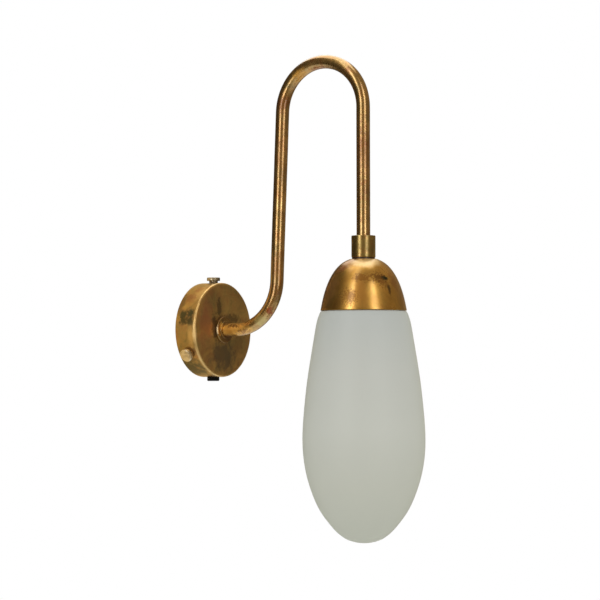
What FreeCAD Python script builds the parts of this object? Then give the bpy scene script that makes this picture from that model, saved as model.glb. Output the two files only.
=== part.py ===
import FreeCAD, Part
import math
import os

# Wall lamp with a swan-neck tube arm, a spun brass cap and a pear-shaped glass shade.
# Millimetres. The wall is the plane y = 0 and the lamp stands out from it along -Y.
# Up is +Z. The origin is the centre of the round canopy, on the wall.
# The arm lies in the plane x = 0 and the shade hangs on its own upright axis.

# Clearances that several pieces share
overrun = 2.0
seam_gap = 0.3
thread_gap = 0.05
seat_gap = 0.1

# Canopy: a spun cup that covers the wall bracket
canopy_radius = 43.0
canopy_depth = 22.0
canopy_wall = 1.0
canopy_edge_radius = 1.8
canopy_inner_edge_radius = 0.8

# Side screws that hold the canopy on the bracket
screw_setback = 10.5
screw_head_radius = 6.0
screw_head_thick = 3.0
screw_head_chamfer = 0.6
screw_neck_radius = 4.0
screw_neck_length = 1.9
screw_shank_radius = 1.95
screw_shank_length = 9.0
screw_hole_clearance = 0.3
side_screw_angles = {"top": 90.0, "left": 210.0, "right": 330.0}

# Wall bracket: a steel plate with three tabs bent forward
bracket_radius = 38.0
bracket_thick = 1.5
bracket_tab_width = 14.0
bracket_tab_thick = 2.0
bracket_tab_length = 17.0
bracket_tab_inset = 2.0
wall_slot_spacing = 54.0
wall_slot_length = 12.0
wall_slot_width = 5.0
wire_entry_radius = 8.0

# Cable grommet in the underside of the canopy
grommet_setback = 10.3
grommet_radius = 5.55
grommet_stand = 3.6
grommet_edge_radius = 0.9
grommet_neck_radius = 4.2
grommet_lip_radius = 5.2
grommet_lip_thick = 1.2
grommet_bore_radius = 3.2

# Terminal block and its screws
pole_pitch = 8.0
block_width = 26.0
block_depth = 12.0
block_height = 16.0
block_foot_height = 15.4
block_edge_radius = 1.0
wire_port_radius = 1.4
wire_port_depth = 5.0
clamp_well_radius = 1.9
clamp_well_depth = 7.0
clamp_well_inset = 4.0
clamp_screw_radius = 1.6
clamp_screw_length = 5.0
clamp_slot_width = 0.5
clamp_slot_depth = 0.8
fixing_screw_radius = 1.45
fixing_head_radius = 1.9
fixing_head_thick = 1.6
fixing_head_depth = 4.0

# Arm tube
tube_radius = 6.0
tube_wall = 1.0
leg_foot_reach = 80.1
leg_lean_degrees = 2.38
lower_bend_radius = 45.3
top_bend_radius = 43.0
top_bend_height = 235.7

# Root of the arm, where it is clamped to the canopy
flange_radius = 12.2
flange_thick = 2.5
flange_edge_radius = 0.9
hub_radius = 7.9
hub_thick = 0.8
nipple_wall = 1.35
root_nipple_inside = 6.0
root_nipple_outside = 10.0
lock_washer_radius = 8.2
lock_washer_thick = 0.8
lock_washer_teeth = 12
lock_tooth_gap = 1.0
lock_tooth_depth = 1.4
nut_across_flats = 14.0
nut_thick = 3.0

# Earth tag under the root locknut
tag_radius = 7.0
tag_thick = 0.6
tag_tongue_width = 4.4
tag_tongue_height = 11.0
tag_barrel_radius = 1.9
tag_barrel_length = 4.0

# Wires
wire_radius = 1.1
wire_spacing = 2.5
wire_bend_radius = 3.0
wire_drop_run = 4.0
wire_port_entry = 2.0
holder_wire_bend_radius = 3.0
holder_wire_run = 3.0

# Head of the arm
collar_top_height = 80.1
collar_radius = 10.5
collar_length = 19.2
collar_socket_depth = 10.0
collar_chamfer = 0.6
collar_washer_radius = 10.0
collar_washer_thick = 1.1
head_nipple_inset = 0.5

# Cap: its outline is one quarter of a rounded figure, cut off at the flat top and at the rim
cap_full_radius = 40.5
cap_full_height = 97.3
cap_roundness_share = 2.65
cap_flat_radius = 11.5
cap_height = 45.0
cap_wall = 1.0
cap_outline_steps = 12

# Gallery plate, gasket and the clips that grip the neck of the glass
gallery_drop = 28.6
gallery_thick = 1.2
gallery_rim_gap = 0.9
gasket_thick = 1.0
clip_angles = (90.0, 210.0, 330.0)
clip_width = 6.0
clip_thick = 0.5
clip_foot_length = 7.0
clip_stem_inset = 2.4
clip_bulge_gap = 0.3
clip_length = 19.0
clip_bulge_drop = 11.0
clip_bend_share = 0.45
clip_toe_inset = 2.6

# Glass shade
glass_radius = 53.25
glass_height = 200.6
glass_wall = 3.0
glass_shoulder_radius = 37.5
glass_shoulder_edge_radius = 1.0
glass_neck_radius = 31.0
glass_neck_fillet = 1.2
glass_pole_radius = 16.5
glass_pole_depth = 3.9
# Drop below the shoulder as a share of the height, and radius as a share of the widest one
glass_flank_shares = (
    (0.030, 0.7465),
    (0.090, 0.7950),
    (0.195, 0.8605),
    (0.300, 0.9215),
    (0.400, 0.9640),
    (0.490, 0.9920),
    (0.558, 1.0000),
    (0.630, 0.9850),
    (0.710, 0.9320),
    (0.790, 0.8390),
    (0.865, 0.7070),
    (0.920, 0.5570),
    (0.956, 0.4330),
)

# Lampholder
holder_radius = 14.0
holder_wall = 1.6
holder_neck_radius = 8.0
holder_neck_height = 3.0
holder_dome_height = 18.0
holder_dome_radius = 6.0
holder_thread_depth = 9.0
holder_body_length = 26.0
holder_block_thick = 8.0
holder_block_drop = 2.0
holder_skirt_gap = 0.3
shell_inner_radius = 7.05
shell_wall = 0.5
shell_length = 14.0
contact_leaf_width = 3.0
contact_leaf_thick = 0.4
contact_leaf_length = 9.0
contact_leaf_drop = 2.0
contact_port_radius = 1.2
contact_port_depth = 3.0
contact_offset = 6.0
contact_screw_radius = 1.8
contact_screw_height = 1.5
contact_screw_offset = 4.6

# Bulb: a candle lamp with a narrow screw base
bulb_radius = 17.5
bulb_length = 99.0
bulb_wall = 0.8
bulb_base_radius = 6.95
bulb_base_length = 22.0
bulb_base_wall = 0.4
bulb_base_edge_radius = 1.6
bulb_contact_radius = 2.4
bulb_contact_height = 1.2
# Drop below the base as a share of the glass, and radius as a share of the widest one
bulb_flank_shares = (
    (0.000, 0.440),
    (0.110, 0.560),
    (0.260, 0.850),
    (0.410, 0.985),
    (0.500, 1.000),
    (0.640, 0.905),
    (0.800, 0.650),
    (0.910, 0.370),
    (0.975, 0.165),
)

ORIGIN = FreeCAD.Vector(0, 0, 0)
UP = FreeCAD.Vector(0, 0, 1)
DOWN = FreeCAD.Vector(0, 0, -1)
OUT = FreeCAD.Vector(0, -1, 0)


def point(x, y, z):
    return FreeCAD.Vector(x, y, z)


# Places that follow from the driving sizes

lean = math.radians(leg_lean_degrees)
leg_rise = point(0, -math.sin(lean), math.cos(lean))
leg_inward = point(0, math.cos(lean), math.sin(lean))
leg_foot = OUT * leg_foot_reach
top_bend_centre_height = top_bend_height - top_bend_radius
leg_length = (top_bend_centre_height + top_bend_radius * math.sin(lean)) / math.cos(lean)
top_bend_start = leg_foot + leg_rise * leg_length
top_bend_centre = top_bend_start - leg_inward * top_bend_radius
shade_reach = top_bend_radius - top_bend_centre.y
shade_axis = OUT * shade_reach

tube_bore_radius = tube_radius - tube_wall
thread_radius = tube_bore_radius - thread_gap
nipple_bore_radius = thread_radius - nipple_wall

root_tube_start = canopy_depth + flange_thick + hub_thick
canopy_front_inside = canopy_depth - canopy_wall
canopy_inner_radius = canopy_radius - canopy_wall
screw_hole_radius = screw_shank_radius + thread_gap
canopy_screw_hole_radius = screw_shank_radius + screw_hole_clearance
tab_outer_radius = canopy_inner_radius - bracket_tab_inset
tab_inner_radius = tab_outer_radius - bracket_tab_thick

collar_foot = collar_top_height - collar_length
collar_shoulder = collar_top_height - collar_socket_depth
cap_top = collar_foot - collar_washer_thick
cap_rim = cap_top - cap_height
gallery_top = cap_top - gallery_drop
gallery_foot = gallery_top - gallery_thick
neck_top = gallery_foot - gasket_thick
shoulder_height = cap_rim - seam_gap
neck_bore_radius = glass_neck_radius - glass_wall

holder_top = gallery_foot
holder_split = holder_top - holder_dome_height
holder_foot = holder_split - holder_body_length
holder_bore_radius = holder_radius - holder_wall
block_top = holder_split - holder_block_drop
block_foot = block_top - holder_block_thick
contact_top = block_foot - contact_leaf_drop
shell_outer_radius = shell_inner_radius + shell_wall
bulb_base_top = contact_top - bulb_contact_height
bulb_glass_top = bulb_base_top - bulb_base_length
bulb_tip = contact_top - bulb_length


# General shapes

def drum(radius, foot, top, base=ORIGIN, axis=UP):
    """Cylinder between two stations on an axis."""
    return Part.makeCylinder(radius, top - foot, base + axis * foot, axis)


def ring(radius, bore, foot, top, base=ORIGIN, axis=UP):
    """Cylinder with a round hole right through it."""
    hole = drum(bore, foot - overrun, top + overrun, base, axis)
    return drum(radius, foot, top, base, axis).cut(hole)


def block(low, high):
    """Box between two opposite corners."""
    size = high - low
    return Part.makeBox(size.x, size.y, size.z, low)


def set_on(shape, base, axis):
    """Moves a shape that was made on +Z at the origin to another axis."""
    turn = FreeCAD.Placement(base, FreeCAD.Rotation(UP, axis))
    return shape.transformGeometry(turn.toMatrix())


def lathe(edges, base=ORIGIN):
    """Solid turned about an upright axis from an outline in the plane y = 0."""
    outline = Part.Wire(Part.__sortEdges__(edges))
    solid = Part.Face(outline).revolve(ORIGIN, UP, 360)
    solid.translate(base)
    return solid


def line(start, end):
    return Part.LineSegment(start, end).toShape()


def curve_through(points):
    """Smooth curve through a list of points."""
    curve = Part.BSplineCurve()
    curve.interpolate(points)
    return curve


def dish_arc(edge, pole_height):
    """Arc from a point down to a pole on the axis, where it is level."""
    depth = edge.z - pole_height
    radius = (edge.x ** 2 + depth ** 2) / (depth + depth)
    half_angle = math.asin(edge.x / radius) / 2
    middle = point(radius * math.sin(half_angle), 0, pole_height + radius - radius * math.cos(half_angle))
    return Part.Arc(edge, middle, point(0, 0, pole_height)).toShape()


def circles_at(shape, radius, height):
    """Full circular edges of a solid, on +Z, at one radius and height."""
    found = []
    for edge in shape.Edges:
        if edge.Degenerated or not isinstance(edge.Curve, Part.Circle):
            continue
        same_radius = abs(edge.Curve.Radius - radius) < thread_gap
        same_height = abs(edge.Curve.Center.z - height) < thread_gap
        if same_radius and same_height:
            found.append(edge)
    return found


def hex_nut(foot, top, base, axis):
    """Hexagon locknut for the hollow threaded nipples."""
    corner_radius = nut_across_flats / math.sqrt(3)
    corners = []
    for step in range(7):
        angle = math.radians(60 * step)
        corners.append(point(corner_radius * math.cos(angle), corner_radius * math.sin(angle), foot))
    body = Part.Face(Part.makePolygon(corners)).extrude(UP * (top - foot))
    crown = drum(corner_radius, foot, top)
    bevel = corner_radius - nut_across_flats / 2
    crown = crown.makeChamfer(bevel / 2, crown.Edges[0:1] + crown.Edges[2:3])
    nut = body.common(crown).cut(drum(tube_bore_radius, foot - overrun, top + overrun))
    return set_on(nut, base, axis)


def radial(angle_degrees):
    """Unit direction in the plane of the wall, at an angle from +X."""
    angle = math.radians(angle_degrees)
    return point(math.cos(angle), 0, math.sin(angle))


def tube_along(edges, radius):
    """Round solid bar along a chain of lines and tangent arcs."""
    spine = Part.Wire(edges)
    start = edges[0]
    centre = start.valueAt(start.FirstParameter)
    tangent = start.tangentAt(start.FirstParameter)
    section = Part.Wire(Part.Circle(centre, tangent, radius).toShape())
    return spine.makePipeShell([section], True, False)


def rounded_route(corners, bend_radius):
    """Straight runs through corners, each corner eased by a tangent arc."""
    edges = []
    last = corners[0]
    for before, corner, after in zip(corners, corners[1:], corners[2:]):
        back = (before - corner).normalize()
        ahead = (after - corner).normalize()
        half_turn = (math.pi - back.getAngle(ahead)) / 2
        reach = bend_radius * math.tan(half_turn)
        start = corner + back * reach
        end = corner + ahead * reach
        inward = (back + ahead).normalize()
        middle = corner + inward * (bend_radius / math.cos(half_turn) - bend_radius)
        edges.append(line(last, start))
        edges.append(Part.Arc(start, middle, end).toShape())
        last = end
    edges.append(line(last, corners[-1]))
    return edges


# Canopy and wall bracket

def canopy():
    """Spun cup, open to the wall, with holes for the arm, the side screws and the grommet."""
    cup = drum(canopy_radius, 0, canopy_depth)
    cup = cup.makeFillet(canopy_edge_radius, circles_at(cup, canopy_radius, canopy_depth))
    hollow = drum(canopy_inner_radius, -overrun, canopy_front_inside)
    rim = circles_at(hollow, canopy_inner_radius, canopy_front_inside)
    hollow = hollow.makeFillet(canopy_inner_edge_radius, rim)
    cup = set_on(cup.cut(hollow), ORIGIN, OUT)
    cup = cup.cut(drum(tube_bore_radius, 0, canopy_depth + overrun, ORIGIN, OUT))
    inside = tab_outer_radius
    for angle in side_screw_angles.values():
        hole = drum(canopy_screw_hole_radius, inside, canopy_radius + overrun, OUT * screw_setback, radial(angle))
        cup = cup.cut(hole)
    return cup.cut(drum(grommet_neck_radius, inside, canopy_radius + overrun, OUT * grommet_setback, DOWN))


def bracket_tab():
    """Tab on +Z, bent forward from the plate, with its tapped hole."""
    half_width = bracket_tab_width / 2
    low = point(-half_width, -bracket_tab_length, tab_inner_radius)
    high = point(half_width, 0, tab_outer_radius)
    foot_low = point(-half_width, -bracket_thick, 0)
    foot_high = point(half_width, 0, tab_outer_radius)
    upright = block(low, high)
    foot = block(foot_low, foot_high)
    hole = drum(screw_hole_radius, tab_inner_radius - overrun, tab_outer_radius + overrun, OUT * screw_setback)
    return upright.fuse(foot).cut(hole)


def wall_slot(centre_x):
    """Round-ended slot for a wall screw, long along X."""
    radius = wall_slot_width / 2
    half_run = (wall_slot_length - wall_slot_width) / 2
    low = point(centre_x - half_run, -bracket_thick - overrun, -radius)
    high = point(centre_x + half_run, overrun, radius)
    slot = block(low, high)
    for end in (centre_x - half_run, centre_x + half_run):
        slot = slot.fuse(drum(radius, -overrun, bracket_thick + overrun, point(end, 0, 0), OUT))
    return slot


def fixing_places():
    """Centres of the two screws that hold the terminal block, between its poles."""
    height = block_foot_height + block_height / 2
    return [point(side * pole_pitch / 2, 0, height) for side in (-1, 1)]


def wall_bracket():
    """Steel plate with three tapped tabs, two wall slots, a cable hole and two screw holes."""
    plate = drum(bracket_radius, 0, bracket_thick, ORIGIN, OUT)
    for angle in side_screw_angles.values():
        tab = bracket_tab()
        tab.rotate(ORIGIN, point(0, -1, 0), angle - 90)
        plate = plate.fuse(tab)
    plate = plate.cut(drum(wire_entry_radius, -overrun, bracket_thick + overrun, ORIGIN, OUT))
    for side in (-1, 1):
        plate = plate.cut(wall_slot(side * wall_slot_spacing / 2))
    for place in fixing_places():
        radius = fixing_screw_radius + thread_gap
        plate = plate.cut(drum(radius, -overrun, bracket_thick + overrun, place, OUT))
    return plate.removeSplitter()


def side_screw(angle_degrees):
    """Plain-headed finger screw that goes through the canopy into a tab of the bracket."""
    neck_foot = canopy_radius + seat_gap
    head_foot = neck_foot + screw_neck_length
    head_top = head_foot + screw_head_thick
    head = drum(screw_head_radius, head_foot, head_top)
    head = head.makeChamfer(screw_head_chamfer, circles_at(head, screw_head_radius, head_top))
    neck = drum(screw_neck_radius, neck_foot, head_foot)
    shank = drum(screw_shank_radius, neck_foot - screw_shank_length, neck_foot)
    screw = head.fuse(neck).fuse(shank).removeSplitter()
    return set_on(screw, OUT * screw_setback, radial(angle_degrees))


def cable_grommet():
    """Soft bush for the cable: a collar outside, a neck in the hole and a lip inside."""
    axis_base = OUT * grommet_setback
    collar_foot_station = canopy_inner_radius - overrun
    collar_end = canopy_radius + grommet_stand
    collar = drum(grommet_radius, collar_foot_station, collar_end)
    collar = collar.makeFillet(grommet_edge_radius, circles_at(collar, grommet_radius, collar_end))
    collar = set_on(collar, axis_base, DOWN)
    collar = collar.cut(drum(canopy_radius, -overrun, canopy_depth + overrun, ORIGIN, OUT))
    lip_end = canopy_inner_radius
    lip_start = lip_end - grommet_lip_thick - canopy_wall
    lip = drum(grommet_lip_radius, lip_start, canopy_radius, axis_base, DOWN)
    lip = lip.common(drum(canopy_inner_radius, -overrun, canopy_depth + overrun, ORIGIN, OUT))
    neck = drum(grommet_neck_radius, lip_start, collar_end - grommet_edge_radius, axis_base, DOWN)
    bush = collar.fuse(neck).fuse(lip)
    bore = drum(grommet_bore_radius, lip_start - overrun, collar_end + overrun, axis_base, DOWN)
    return bush.cut(bore).removeSplitter()


# Terminal block

def pole_places():
    return [pole * pole_pitch for pole in (-1, 0, 1)]


def clamp_places():
    """Centres of the six clamp screws on the front of the terminal block."""
    low = block_foot_height + clamp_well_inset
    high = block_foot_height + block_height - clamp_well_inset
    return [point(x, 0, z) for x in pole_places() for z in (low, high)]


def terminal_block():
    """Three-pole screw connector on the bracket plate."""
    half_width = block_width / 2
    front = bracket_thick + block_depth
    top = block_foot_height + block_height
    body = block(point(-half_width, -front, block_foot_height), point(half_width, -bracket_thick, top))
    uprights = [edge for edge in body.Edges if abs(edge.Vertexes[0].X - edge.Vertexes[1].X) < thread_gap]
    uprights = [edge for edge in uprights if abs(edge.Vertexes[0].Y - edge.Vertexes[1].Y) < thread_gap]
    body = body.makeFillet(block_edge_radius, uprights)
    middle = OUT * (bracket_thick + block_depth / 2)
    for x in pole_places():
        base = middle + point(x, 0, 0)
        body = body.cut(drum(wire_port_radius, block_foot_height - overrun, block_foot_height + wire_port_depth, base))
        body = body.cut(drum(wire_port_radius, top - wire_port_depth, top + overrun, base))
    for place in clamp_places():
        body = body.cut(drum(clamp_well_radius, front - clamp_well_depth, front + overrun, place, OUT))
    for place in fixing_places():
        radius = fixing_screw_radius + thread_gap
        body = body.cut(drum(radius, bracket_thick - overrun, front + overrun, place, OUT))
        well = drum(fixing_head_radius + thread_gap, front - fixing_head_depth, front + overrun, place, OUT)
        body = body.cut(well)
    return body


def slotted(screw, radius, top, place):
    """Cuts a driver slot across the head of a screw on the OUT axis."""
    half_width = clamp_slot_width / 2
    low = point(-radius - overrun, -top - overrun, -half_width)
    high = point(radius + overrun, -top + clamp_slot_depth, half_width)
    cutter = block(low, high)
    cutter.translate(place)
    return screw.cut(cutter)


def terminal_screws():
    """Six clamp screws, each at the floor of its well."""
    foot = bracket_thick + block_depth - clamp_well_depth
    top = foot + clamp_screw_length
    screws = []
    for place in clamp_places():
        screw = drum(clamp_screw_radius, foot, top, place, OUT)
        screws.append(slotted(screw, clamp_screw_radius, top, place))
    return Part.makeCompound(screws)


def block_fixing_screws():
    """Two screws that hold the terminal block to the bracket plate."""
    seat = bracket_thick + block_depth - fixing_head_depth
    top = seat + fixing_head_thick
    screws = []
    for place in fixing_places():
        shank = drum(fixing_screw_radius, 0, seat, place, OUT)
        head = drum(fixing_head_radius, seat, top, place, OUT)
        screws.append(slotted(shank.fuse(head), fixing_head_radius, top, place))
    return Part.makeCompound(screws)


# Arm and its root

def arm_route(root_station, head_height):
    """Centre-line of the arm: out from the wall, up a leaning leg, over in a U and straight down."""
    bend_reach = lower_bend_radius * math.tan((math.pi / 2 - lean) / 2)
    bend_start = leg_foot - OUT * bend_reach
    bend_end = leg_foot + leg_rise * bend_reach
    bend_centre = bend_start + UP * lower_bend_radius
    towards_foot = (leg_foot - bend_centre).normalize()
    bend_middle = bend_centre + towards_foot * lower_bend_radius
    crown_angle = (math.pi + lean) / 2
    crown = top_bend_centre + point(0, math.cos(crown_angle), math.sin(crown_angle)) * top_bend_radius
    top_bend_end = top_bend_centre + OUT * top_bend_radius
    return [
        line(OUT * root_station, bend_start),
        Part.Arc(bend_start, bend_middle, bend_end).toShape(),
        line(bend_end, top_bend_start),
        Part.Arc(top_bend_start, crown, top_bend_end).toShape(),
        line(top_bend_end, shade_axis + UP * head_height),
    ]


def arm_tube():
    """Thin-walled tube from the root hub to the shoulder inside the head collar."""
    route = arm_route(root_tube_start, collar_shoulder)
    outside = tube_along(route, tube_radius)
    inside = tube_along(route, tube_bore_radius)
    return outside.cut(inside)


def root_flange():
    """Stepped washer between the canopy and the tube."""
    face = canopy_depth + flange_thick
    disc = drum(flange_radius, canopy_depth, face)
    disc = disc.makeFillet(flange_edge_radius, circles_at(disc, flange_radius, face))
    hub = drum(hub_radius, face, root_tube_start)
    washer = disc.fuse(hub).cut(drum(tube_bore_radius, canopy_depth - overrun, root_tube_start + overrun))
    return set_on(washer.removeSplitter(), ORIGIN, OUT)


def root_nipple():
    start = canopy_front_inside - root_nipple_inside
    return ring(thread_radius, nipple_bore_radius, start, root_tube_start + root_nipple_outside, ORIGIN, OUT)


def root_lock_washer():
    """Shakeproof washer with teeth around its rim."""
    start = canopy_front_inside - lock_washer_thick
    washer = ring(lock_washer_radius, tube_bore_radius, start, canopy_front_inside, ORIGIN, OUT)
    half_gap = lock_tooth_gap / 2
    for tooth in range(lock_washer_teeth):
        low = point(-half_gap, -canopy_front_inside - overrun, lock_washer_radius - lock_tooth_depth)
        high = point(half_gap, -start + overrun, lock_washer_radius + overrun)
        notch = block(low, high)
        notch.rotate(ORIGIN, point(0, 1, 0), 360 * tooth / lock_washer_teeth)
        washer = washer.cut(notch)
    return washer


def tag_stations():
    """Stations of the earth tag's two faces, measured out from the wall."""
    outer = canopy_front_inside - lock_washer_thick
    return outer - tag_thick, outer


def earth_tag():
    """Ring tag with an upright tongue and a crimp barrel for the earth wire."""
    start, end = tag_stations()
    half_width = tag_tongue_width / 2
    tongue = block(point(-half_width, -end, 0), point(half_width, -start, tag_tongue_height + tag_barrel_radius))
    plate = drum(tag_radius, start, end, ORIGIN, OUT).fuse(tongue)
    plate = plate.cut(drum(tube_bore_radius, start - overrun, end + overrun, ORIGIN, OUT))
    barrel_base = UP * tag_tongue_height
    barrel = drum(tag_barrel_radius, start - tag_barrel_length, start, barrel_base, OUT)
    bore = drum(wire_radius + thread_gap, start - tag_barrel_length - overrun, start, barrel_base, OUT)
    return plate.fuse(barrel).cut(bore).removeSplitter()


def root_locknut():
    start, end = tag_stations()
    return hex_nut(start - nut_thick, start, ORIGIN, OUT)


# Wires

def lamp_wire(side):
    """Insulated wire from the terminal block, through the arm, to the lampholder."""
    offset = point(side * wire_spacing / 2, 0, 0)
    block_centre = OUT * (bracket_thick + block_depth / 2) + point(side * pole_pitch, 0, 0)
    port = block_centre + UP * (block_foot_height + wire_port_entry)
    drop = block_centre + UP * (block_foot_height - wire_drop_run)
    turn = OUT * (bracket_thick + block_depth / 2) + offset
    arm_start = canopy_front_inside
    lead_in = rounded_route([port, drop, turn, OUT * arm_start + offset], wire_bend_radius)
    arm_end = holder_top - holder_thread_depth
    arm = [edge.translated(offset) for edge in arm_route(arm_start, arm_end)]
    middle = shade_axis + offset
    clamp = shade_axis + point(side * contact_offset, 0, 0)
    corners = [
        middle + UP * arm_end,
        middle + UP * (arm_end - holder_wire_run),
        clamp + UP * (block_top + holder_wire_run),
        clamp + UP * (block_top - contact_port_depth),
    ]
    lead_out = rounded_route(corners, holder_wire_bend_radius)
    return tube_along(lead_in + arm + lead_out, wire_radius)


def wire_earth():
    """Short wire from the middle pole to the earth tag."""
    start, end = tag_stations()
    middle = OUT * (bracket_thick + block_depth / 2)
    corners = [
        middle + UP * (block_foot_height + wire_port_entry),
        middle + UP * tag_tongue_height,
        OUT * start + UP * tag_tongue_height,
    ]
    return tube_along(rounded_route(corners, wire_bend_radius), wire_radius)


# Head of the arm and the cap

def head_collar():
    """Turned sleeve: the tube is soldered into its top, the nipple screws into its foot."""
    sleeve = drum(collar_radius, collar_foot, collar_top_height)
    sleeve = sleeve.makeChamfer(collar_chamfer, circles_at(sleeve, collar_radius, collar_foot))
    sleeve = sleeve.cut(drum(tube_bore_radius, collar_foot - overrun, collar_top_height))
    sleeve = sleeve.cut(drum(tube_radius + thread_gap, collar_shoulder, collar_top_height + overrun))
    return sleeve.translated(shade_axis)


def collar_washer():
    return ring(collar_washer_radius, tube_bore_radius, cap_top, collar_foot, shade_axis)


def head_nipple():
    """Hollow threaded tube that carries the cap, the gallery and the lampholder."""
    foot = holder_top - holder_thread_depth
    return ring(thread_radius, nipple_bore_radius, foot, collar_shoulder - head_nipple_inset, shade_axis)


def cap_outline_radius(level, full_radius, full_height):
    """Radius of the cap's outline at a level above its widest circle."""
    power = cap_roundness_share
    return full_radius * (1 - (level / full_height) ** power) ** (1 / power)


def cap_level(radius, full_radius, full_height):
    """Level above the widest circle at which the outline has a radius."""
    power = cap_roundness_share
    return full_height * (1 - (radius / full_radius) ** power) ** (1 / power)


def cap_solid(full_radius, full_height, base_height, low, high):
    """Filled dome between two heights, turned from the cap's outline."""
    points = []
    for step in range(cap_outline_steps + 1):
        # steps crowd together towards the top, where the outline turns in
        share = math.sin(step / cap_outline_steps * math.pi / 2)
        height = low + (high - low) * share
        radius = cap_outline_radius(height - base_height, full_radius, full_height)
        points.append(point(radius, 0, height))
    edges = [
        line(point(0, 0, low), points[0]),
        curve_through(points).toShape(),
        line(points[-1], point(0, 0, high)),
        line(point(0, 0, high), point(0, 0, low)),
    ]
    return lathe(edges, shade_axis)


def cap():
    """Spun dome over the neck of the glass, open at the rim."""
    base_height = cap_top - cap_level(cap_flat_radius, cap_full_radius, cap_full_height)
    outside = cap_solid(cap_full_radius, cap_full_height, base_height, cap_rim, cap_top)
    inner_radius = cap_full_radius - cap_wall
    inner_height = cap_full_height - cap_wall
    inside = cap_solid(inner_radius, inner_height, base_height, cap_rim - overrun, cap_top - cap_wall)
    hole = drum(tube_bore_radius, cap_rim, cap_top + overrun, shade_axis)
    return outside.cut(inside).cut(hole)


def cap_locknut():
    top = cap_top - cap_wall
    return hex_nut(top - nut_thick, top, shade_axis, UP)


# Gallery and clips

def gallery_radius():
    """Radius that just clears the inside of the cap at the level of the plate."""
    base_height = cap_top - cap_level(cap_flat_radius, cap_full_radius, cap_full_height)
    inner_radius = cap_full_radius - cap_wall
    inner_height = cap_full_height - cap_wall
    return cap_outline_radius(gallery_top - base_height, inner_radius, inner_height) - gallery_rim_gap


def gallery_plate():
    return ring(gallery_radius(), tube_bore_radius, gallery_foot, gallery_top, shade_axis)


def gallery_locknut():
    return hex_nut(gallery_top, gallery_top + nut_thick, shade_axis, UP)


def neck_gasket():
    return ring(glass_neck_radius, neck_bore_radius, neck_top, gallery_foot, shade_axis)


def shade_clip():
    """Leaf clip on +X: a foot under the gallery plate, a stem, a bulge and a toe that leads in."""
    stem = neck_bore_radius - clip_stem_inset
    half_width = clip_width / 2
    bulge_reach = neck_bore_radius - clip_bulge_gap
    bulge = math.sqrt(bulge_reach ** 2 - half_width ** 2)
    top = gallery_foot
    bulge_height = top - clip_bulge_drop
    toe_height = top - clip_length
    stem_end = bulge_height + (top - bulge_height) * clip_bend_share
    outer = [
        point(stem - clip_foot_length, 0, top),
        point(stem, 0, top),
        point(stem, 0, stem_end),
        point(bulge, 0, bulge_height),
        point(bulge - clip_toe_inset, 0, toe_height),
    ]
    inner = [
        point(bulge - clip_toe_inset - clip_thick, 0, toe_height),
        point(bulge - clip_thick, 0, bulge_height),
        point(stem - clip_thick, 0, stem_end),
        point(stem - clip_thick, 0, top - clip_thick),
        point(stem - clip_foot_length, 0, top - clip_thick),
    ]
    corners = outer + inner
    outline = Part.makePolygon(corners + corners[0:1])
    strip = Part.Face(outline).extrude(point(0, clip_width, 0))
    strip.translate(point(0, -half_width, 0))
    return strip


def shade_springs():
    """Three leaf clips that press outwards on the bore of the glass's neck."""
    clips = []
    for angle in clip_angles:
        clip = shade_clip()
        clip.rotate(ORIGIN, UP, angle)
        clip.translate(shade_axis)
        clips.append(clip)
    return Part.makeCompound(clips)


# Glass shade

def glass_flank():
    """Outer outline of the glass from the shoulder to the edge of its flattened pole."""
    points = [point(glass_shoulder_radius, 0, shoulder_height)]
    for drop_share, radius_share in glass_flank_shares:
        height = shoulder_height - glass_height * drop_share
        points.append(point(glass_radius * radius_share, 0, height))
    pole_edge_height = shoulder_height - glass_height + glass_pole_depth
    points.append(point(glass_pole_radius, 0, pole_edge_height))
    return points


def moved_in(points, wall):
    """Points moved square to the curve through them, towards the axis."""
    curve = curve_through(points)
    moved = []
    for place in points:
        run = curve.tangent(curve.parameter(place))[0]
        inward = point(run.z, 0, -run.x)
        moved.append(place + inward * wall)
    return moved


def pear(points, pole_height):
    """Filled body turned from a flank and a dished pole."""
    top = points[0].z
    edges = [
        line(point(0, 0, top), points[0]),
        curve_through(points).toShape(),
        dish_arc(points[-1], pole_height),
        line(point(0, 0, pole_height), point(0, 0, top)),
    ]
    return lathe(edges)


def glass_shade():
    """Blown shade: open straight neck, flat shoulder, pear body and closed pole."""
    pole_height = shoulder_height - glass_height
    flank = glass_flank()
    body = pear(flank, pole_height)
    rim = circles_at(body, glass_shoulder_radius, shoulder_height)
    body = body.makeFillet(glass_shoulder_edge_radius, rim)
    body = body.fuse(drum(glass_neck_radius, shoulder_height, neck_top))
    foot = circles_at(body, glass_neck_radius, shoulder_height)
    body = body.makeFillet(glass_neck_fillet, foot)
    ceiling = shoulder_height - glass_wall
    hollow = pear(moved_in(flank, glass_wall), pole_height + glass_wall)
    hollow = hollow.common(drum(glass_radius, pole_height, ceiling))
    bore = drum(neck_bore_radius, ceiling - overrun, neck_top + overrun)
    shade = body.cut(hollow.fuse(bore))
    return shade.translated(shade_axis)


# Lampholder

def holder_dome():
    """Upper half of the lampholder, which screws on to the nipple."""
    shoulder = holder_top - holder_neck_height
    dome = drum(holder_radius, holder_split, shoulder)
    dome = dome.makeFillet(holder_dome_radius - holder_wall, circles_at(dome, holder_radius, shoulder))
    dome = dome.fuse(drum(holder_neck_radius, shoulder, holder_top))
    ceiling = holder_top - holder_thread_depth
    dome = dome.cut(drum(holder_bore_radius, holder_split - overrun, ceiling))
    dome = dome.cut(drum(tube_bore_radius, holder_split, holder_top + overrun))
    return dome.translated(shade_axis)


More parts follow.
